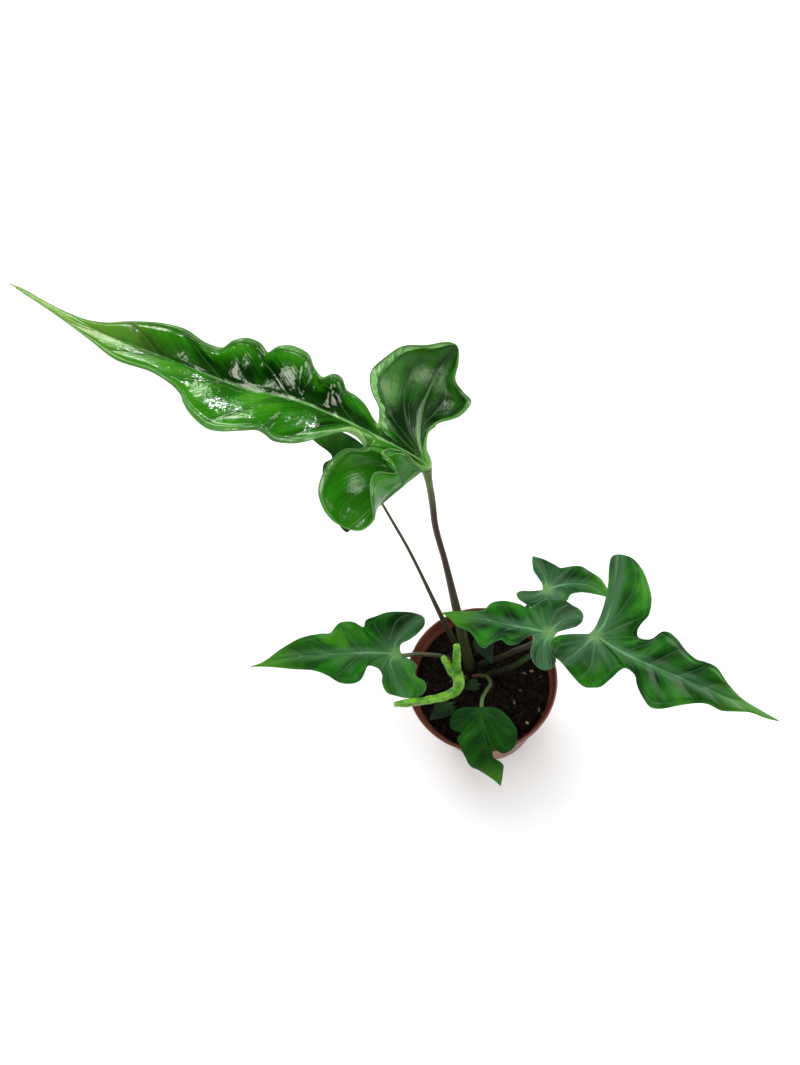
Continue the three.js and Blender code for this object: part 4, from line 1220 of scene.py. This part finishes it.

# %% [markdown]
# ## Soft tones of the upper skin
#
# The skin is painted darker in the hollows along the side veins and the midrib, as painted shade, so it
# is lightest on the cushions between the veins. Painted shade deepens one half of the big leaf, and
# painted light brightens the lobe on its other half.


# %% Soft tones
def soft_tones(f, at, dark, bright, tip_tone, patches, shade):
    tone = (at.cloud - 0.3) * 1.3 + (at.streak - 0.5) * 0.6
    # Painted shade: the skin darkens in the hollows beside the side veins and the midrib.
    tone = tone + at.off_vein.least(0.006) * 50 + at.rib.least(0.01) * 25 - 0.1
    # Painted shade: one half of the big leaf darkens, less towards its tip, its margin and its lobe's far
    # end.
    painted_shade = at.half * (1 - at.up_blade.ramp(0.35, 0.75)) * (1.1 - at.span.ramp(0.3, 0.85)) * shade
    painted_shade = painted_shade * (1 - at.on_lobe * at.base.ramp(0.018, 0.04) * 0.75)
    # Painted light: the lobe on the big leaf's other half is brightened in streaks.
    painted_light = at.on_lobe * (1 - at.half) * (at.streak * 1.6 + at.cloud * 0.6 - 0.1) * shade
    skin = f.mix((tone - painted_shade).ramp(0.12, 0.88), dark, bright)
    skin = f.mix(painted_light, skin, times(bright, 1.8))
    return f.mix((tone - painted_shade + at.cloud - 0.75).ramp(0.3, 0.9) * patches, skin, tip_tone)


print("lengths in a finish are in metres, so 0.006 is", 0.006 / MM, "mm")

# %% [markdown]
# ## Ribs, veins and margin
#
# The lines are laid over the soft tones one after the other: a painted sheen beside the ribs, a painted
# sheen on the band inside the margin and painted highlights on its crinkles, the side veins and the
# hairline margin, the midrib and its ridges, and last the pale foot and tip of the leaf.


# %% Lines of the upper skin
def fine_lines(f, at, skin, tones, half_rib, veins, rib_sheen, rim_sheen):
    rib_tone, vein_tone, base_tone, tip_tone = tones
    side_vein = at.off_vein.line(half_rib * 0.6) * (1 - at.span.ramp(0.8, COLLECTING_VEIN)) * veins
    border = (at.span - COLLECTING_VEIN).line(0.02) * veins * 0.9
    midrib = at.rib.line(half_rib * (1.1 - abs(at.along))) * (0.85 - (at.along * -1).ramp(0, 0.5) * 0.45)
    ridges = (at.rib - half_rib * 0.45).line(half_rib * 0.35) * (1 - abs(at.along).ramp(0.1, 0.5)) * 0.6
    # Painted sheen: a paler tone beside the ribs and round the foot of the leaf.
    painted_rib_sheen = (1 - at.rib.ramp(half_rib, half_rib * 5)).most(1 - at.base.ramp(0.003, 0.018)) * rib_sheen
    # Painted highlight: pale crinkled glints inside the margin of the folded lobe.
    rim_highlight = f.noise(1, 3, f.vector(at.vein * 60, at.span * 9)).ramp(0.35, 0.65)
    rim_highlight = at.span.ramp(0.8, 0.86) * rim_highlight * at.base.ramp(0.012, 0.02) * at.fold * rim_sheen * 1.4
    for share, tone in (
            (painted_rib_sheen * (0.6 + at.streak * 0.6), vein_tone),
            # Painted sheen: a pale streaky band between the collecting vein and the margin.
            (at.span.ramp(COLLECTING_VEIN, 0.93) * (at.streak * 2 - 0.2) * rim_sheen, rib_tone),
            (rim_highlight, times(rib_tone, 2.2)),
            (side_vein.most(border).most(at.edge.line(0.0006) * 0.5), vein_tone),
            (midrib, rib_tone),
            (ridges, times(rib_tone, 1.5)),
            ((1 - at.base.ramp(0.001, 0.006)) * 0.8, base_tone),
            (at.up_blade.ramp(0.5, 0.95) * 0.9, tip_tone)):
        skin = f.mix(share, skin, tone)
    return skin


print("the side veins end at a share of", COLLECTING_VEIN, "of the way to the margin")

# %% [markdown]
# ## Faces of a blade
#
# The upper skin adds gloss and small ripples. The underside is a dull grey green with paler veins that
# stand proud, and the cut edge is paler than both.


# %% Three skins
def upper_skin(name, dark, bright, *tones, half_rib, rough, gloss,
               ripple=0.4, veins=0.5, rib_sheen=0.2, patches=0.2, rim_sheen=0.0, shade=0.0):
    """half_rib is half the midrib's width in metres. The last six are strengths, of painted sheen and shade
    too.
    """
    f = Finish(name)
    at = read_blade(f)
    skin = soft_tones(f, at, dark, bright, tones[-1], patches, shade)
    skin = fine_lines(f, at, skin, tones, half_rib, veins, rib_sheen, rim_sheen)
    rough = rough + (at.streak - 0.5) * 0.16 + (at.cloud - 0.5) * 0.1 + at.half * at.on_lobe * shade * 0.4
    height = at.streak * (0.5 + ripple * 0.2) + at.grain * 0.15 + at.off_vein.least(0.003) * 120
    return f.surface(skin, rough, gloss, height + f.noise(300, 2) * ripple, 0.00012)


def lower_skin(name, dark, bright, pale):
    f = Finish(name)
    tone = f.noise(80, 4)
    away = off_vein(f.chart("veins", 0), f.value("gap"))
    skin = f.mix(tone.ramp(0.25, 0.75), dark, bright)
    skin = f.mix(f.value("rib").line(0.0018).most(away.line(0.0008) * 0.6), skin, pale)
    return f.surface(skin, 0.62 + tone * 0.15, 0.14, f.noise(700) + away.least(0.003) * 60, 0.00006)


def margin_skin(name, colour):
    f = Finish(name)
    tone = f.noise(200, 2)
    return f.surface(f.mix(tone, colour, times(colour, 1.3)), 0.4 + tone * 0.1, 0.35)


print("faces of a blade: top, below, margin")

# %% [markdown]
# ## Leaf finishes
#
# The big leaf is glossy and the medium ones are plainer. The front leaf and the leaf under the big one are
# dull and darker, deepened as painted shade, and the three small ones low in the pot are darker still, as
# painted shade. Each row holds the tones of the upper skin (dark, bright, rib, vein, foot, tip), of the
# underside (dark, bright, vein) and of the cut edge, and then the strengths.

# %% Leaf tones
LEAF_TONES = {
    "glossy_leaf": (
        [(0.001, 0.017, 0.0005), (0.023, 0.195, 0.003), (0.12, 0.28, 0.08),
         (0.05, 0.2, 0.022), (0.09, 0.25, 0.03), (0.19, 0.38, 0.045)],
        [(0.035, 0.13, 0.065), (0.07, 0.2, 0.11), (0.1, 0.24, 0.13)], (0.09, 0.24, 0.05),
        dict(half_rib=0.0014, rough=0.13, gloss=0.5, ripple=2.2, veins=0.35, rib_sheen=0.12, patches=0.15,
             rim_sheen=0.6, shade=0.4)),
    "leaf": (
        [(0.0006, 0.018, 0.0006), (0.012, 0.155, 0.003), (0.085, 0.23, 0.095),
         (0.085, 0.235, 0.095), (0.13, 0.27, 0.08), (0.055, 0.23, 0.008)],
        [(0.03, 0.09, 0.03), (0.06, 0.15, 0.05), (0.13, 0.24, 0.09)], (0.05, 0.17, 0.04),
        dict(half_rib=0.001, rough=0.35, gloss=0.14, ripple=0.8, veins=0.22, rib_sheen=0.45, patches=0.6)),
    # Painted shade: darker greens for the front leaf and the leaf under the big one.
    "dark_leaf": (
        [(0.0008, 0.022, 0.0006), (0.009, 0.095, 0.0015), (0.009, 0.065, 0.008),
         (0.009, 0.06, 0.008), (0.012, 0.07, 0.006), (0.04, 0.17, 0.006)],
        [(0.02, 0.07, 0.02), (0.045, 0.11, 0.04), (0.09, 0.17, 0.06)], (0.015, 0.07, 0.01),
        dict(half_rib=0.0008, rough=0.5, gloss=0.08, veins=0.3, patches=0.4)),
    # Painted shade: darker greens still for the three small leaves low in the pot.
    "shaded_small_leaf": (
        [(0.002, 0.012, 0.002), (0.006, 0.035, 0.004), (0.012, 0.05, 0.01),
         (0.009, 0.04, 0.008), (0.01, 0.045, 0.008), (0.012, 0.05, 0.006)],
        [(0.01, 0.035, 0.01), (0.02, 0.06, 0.02), (0.04, 0.09, 0.03)], (0.01, 0.045, 0.008),
        dict(half_rib=0.0005, rough=0.5, gloss=0.15)),
}
leaf_finishes = {
    name: [upper_skin(name + "_top", *top, **strengths), lower_skin(name + "_below", *below),
           margin_skin(name + "_margin", margin)]
    for name, (top, below, margin, strengths) in LEAF_TONES.items()
}
print("leaf finishes:", [m.name for made in leaf_finishes.values() for m in made])

# %% [markdown]
# ## Beads and collar
#
# The bead is as green as the leaf where it is fine, and pale where it has swollen. There the curl shows
# the underside, and the pale tone is also a painted highlight on the curl. Its girth in millimetres was
# kept on it and picks the tone.


# %% Bead and collar finishes
def bead_skin(name, thin_tone, thick_tone):
    f = Finish(name)
    cloud, girth = f.noise(150), f.value("girth")
    # Partly painted highlight: the swollen parts, where the margin curls, turn pale.
    tone = f.mix(girth.ramp(0.4, 1.2), thin_tone, thick_tone)
    tone = f.mix(cloud.ramp(0.45, 0.8) * 0.5, tone, times(thin_tone, 0.5))
    return f.surface(tone, 0.3 + cloud * 0.15, height=cloud, depth=0.0002)


bead_finish = bead_skin("leaf_cord", (0.07, 0.23, 0.025), (0.2, 0.4, 0.1))
collar_finish = bead_skin("leaf_collar_skin", (0.05, 0.19, 0.018), (0.09, 0.26, 0.03))
print("finishes:", bead_finish.name, collar_finish.name)

# %% [markdown]
# ## Stalk finishes
#
# The stalks are brown or olive at the soil and greener under the blade, with fine streaks and flecks. Each
# row holds the tones at the foot, half-way and at the top.


# %% Stalk finishes
def stalk_skin(name, low, middle, high):
    f = Finish(name)
    rise = f.value("rise")
    streak, fleck = f.stretched(300, 3, (4.0, 4.0, 0.5)), f.noise(1500, 2)
    tone = f.mix(rise.ramp(0.2, 0.6), low, middle)
    tone = f.mix(rise.ramp(0.78, 0.95), tone, high)
    tone = f.mix(streak.ramp(0.35, 0.7) * 0.35, tone, times(low, 0.45))
    tone = f.mix(fleck.ramp(0.6, 0.75) * 0.25, tone, times(middle, 2.2))
    return f.surface(tone, 0.35 + streak * 0.15, 0.3, streak + fleck * 0.3, 0.00012)


STALK_TONES = {
    "tall": [(0.04, 0.045, 0.012), (0.05, 0.023, 0.013), (0.1, 0.15, 0.035)],
    "olive": [(0.03, 0.03, 0.013), (0.055, 0.062, 0.022), (0.1, 0.15, 0.045)],
    "brown": [(0.03, 0.028, 0.012), (0.045, 0.038, 0.018), (0.07, 0.09, 0.03)],
    "green": [(0.025, 0.03, 0.01), (0.035, 0.075, 0.017), (0.07, 0.15, 0.035)],
    "pale": [(0.11, 0.045, 0.025), (0.06, 0.12, 0.03), (0.09, 0.2, 0.045)],
    "fresh": [(0.06, 0.08, 0.02), (0.15, 0.28, 0.03), (0.2, 0.4, 0.02)],
}
stalk_finishes = {key: stalk_skin(key + "_stalk_skin", *tones) for key, tones in STALK_TONES.items()}
print("stalk finishes:", list(stalk_finishes))

# %% [markdown]
# ## Rolled leaf finish
#
# The rolled leaf is a bright yellow green, mottled and a little translucent.


# %% Fresh skin
def fresh_skin():
    f = Finish("rolled_leaf_skin")
    cloud, grain = f.noise(220, 5), f.noise(900, 2)
    tone = f.mix(cloud.ramp(0.35, 0.65), (0.04, 0.18, 0.002), (0.15, 0.4, 0.006))
    glow = {"Subsurface Weight": 0.1, "Subsurface Radius": (0.002, 0.003, 0.0005)}
    return f.surface(tone, 0.3 + grain * 0.15, height=cloud * 0.6 + grain * 0.4, depth=0.0005, more=glow)


fresh_finish = fresh_skin()
print("finish:", fresh_finish.name)

# %% [markdown]
# ## Soil finishes
#
# Damp potting mix is nearly black with a warm tint, and only a few chips are pale. The rootstock in it is a
# corky brown.


# %% Ground, crumbs and rootstock
def soil_skin():
    f = Finish("potting_soil")
    coarse, fine = f.noise(350, 6), f.noise(1600, 4)
    tone = f.mix(coarse.ramp(0.35, 0.8), (0.002, 0.0012, 0.0008), (0.014, 0.007, 0.004))
    tone = f.mix(fine.ramp(0.64, 0.78) * 0.4, tone, (0.045, 0.017, 0.009))
    return f.surface(tone, 0.85 + fine * 0.1, 0.12, coarse + fine * 0.5, 0.0006)


def chip_skin(name, dark, pale):
    f = Finish(name)
    grain = f.noise(900, 4)
    tone = f.mix(f.value("tone") * (0.7 + grain * 0.5), dark, pale)
    return f.surface(tone, 0.8 + grain * 0.1, 0.12, grain, 0.0003)


def root_skin():
    f = Finish("rootstock_skin")
    cloud, grain = f.noise(120, 4), f.noise(900)
    tone = f.mix(cloud.ramp(0.3, 0.7), (0.05, 0.028, 0.014), (0.13, 0.08, 0.045))
    return f.surface(tone, 0.65 + grain * 0.2, 0.2, cloud * 0.5 + grain * 0.5, 0.0004)


soil_finish, root_finish = soil_skin(), root_skin()
crumb_finish = chip_skin("soil_crumb", (0.002, 0.0015, 0.001), (0.018, 0.008, 0.005))
chip_finish = chip_skin("bark_chip", (0.012, 0.005, 0.003), (0.34, 0.23, 0.13))
print("finishes:", [m.name for m in (soil_finish, crumb_finish, chip_finish, root_finish)])

# %% [markdown]
# ## Pot finish
#
# The pot is matt reddish-brown plastic, with pale specks and faint rings from its mould.


# %% Pot plastic
def pot_skin():
    f = Finish("pot_plastic")
    cloud, grain = f.noise(45, 4), f.noise(2200, 2)
    rings = f.stretched(120, 2, (0.3, 0.3, 8.0))
    tone = f.mix(cloud.ramp(0.3, 0.7), (0.15, 0.034, 0.017), (0.22, 0.055, 0.028))
    tone = f.mix(grain.ramp(0.55, 0.75) * 0.25, tone, (0.28, 0.09, 0.055))
    return f.surface(tone, 0.42 + cloud * 0.15, height=grain * 0.4 + rings * 0.6, depth=0.00012)


pot_finish = pot_skin()
print("finish:", pot_finish.name)

# %% [markdown]
# ## Floor
#
# A broad pale floor belongs to the stage and not to the plant. It glows faintly, so that it stays white in
# the shade.


# %% Floor
def floor_skin():
    f = Finish("pale_floor")
    tone = f.mix(f.noise(3, 2), (0.86, 0.86, 0.86), (0.9, 0.9, 0.9))
    return f.surface(tone, 0.7, more={"Emission Color": (1, 1, 1, 1), "Emission Strength": 0.2})


clear()
bpy.ops.mesh.primitive_plane_add(size=30)
floor = bpy.context.object
floor.name = "floor"
floor.data.materials.append(floor_skin())
print("materials:", len(bpy.data.materials))

# %% [markdown]
# ## Putting it together
#
# Every piece rides on the plant's one body, takes the place of the plain solid that it was fitted to, and
# takes its finishes.


# %% Fit the pieces to the frame
def fit(piece, slot, materials, *nodes):
    piece.data.materials.clear()
    for material in materials:
        piece.data.materials.append(material)
    if nodes:
        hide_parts(*nodes)
    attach(piece, "root")


for key, slot, stalk_tone in (
        ("big", "glossy_leaf", "tall"), ("left", "leaf", "olive"), ("middle", "leaf", "brown"),
        ("right", "leaf", "green"), ("back", "leaf", "green"), ("front", "dark_leaf", "pale"),
        ("under", "dark_leaf", "olive")):
    fit(blades[key], slot, leaf_finishes[slot], f"{key}_blade")
    fit(stalks[key], "stalk", [stalk_finishes[stalk_tone]], f"{key}_stalk")
for key in ("low", "edge", "inner"):
    fit(blades[key], "dark_leaf", leaf_finishes["shaded_small_leaf"], f"{key}_leaf")
    fit(stalks[key], "stalk", [stalk_finishes["green"]])
for piece, slot, finish, *nodes in (
        (beads[0], "glossy_leaf", bead_finish), (beads[1], "glossy_leaf", bead_finish),
        (leaf_collar, "glossy_leaf", collar_finish),
        (stalks["new"], "stalk", stalk_finishes["fresh"], "new_stalk"),
        (rolled_leaf, "fresh_leaf", fresh_finish, "new_leaf"),
        (soil_ground, "potting_soil", soil_finish, "soil"), (crumbs, "potting_soil", crumb_finish),
        (chips, "potting_soil", chip_finish), (pot, "pot_plastic", pot_finish, "pot")):
    fit(piece, slot, [finish], *nodes)
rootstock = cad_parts["rootstock"].data.materials
rootstock.clear()
rootstock.append(root_finish)

# %% [markdown]
# ## Sizes
#
# The finer model has to keep the size of the plain one.
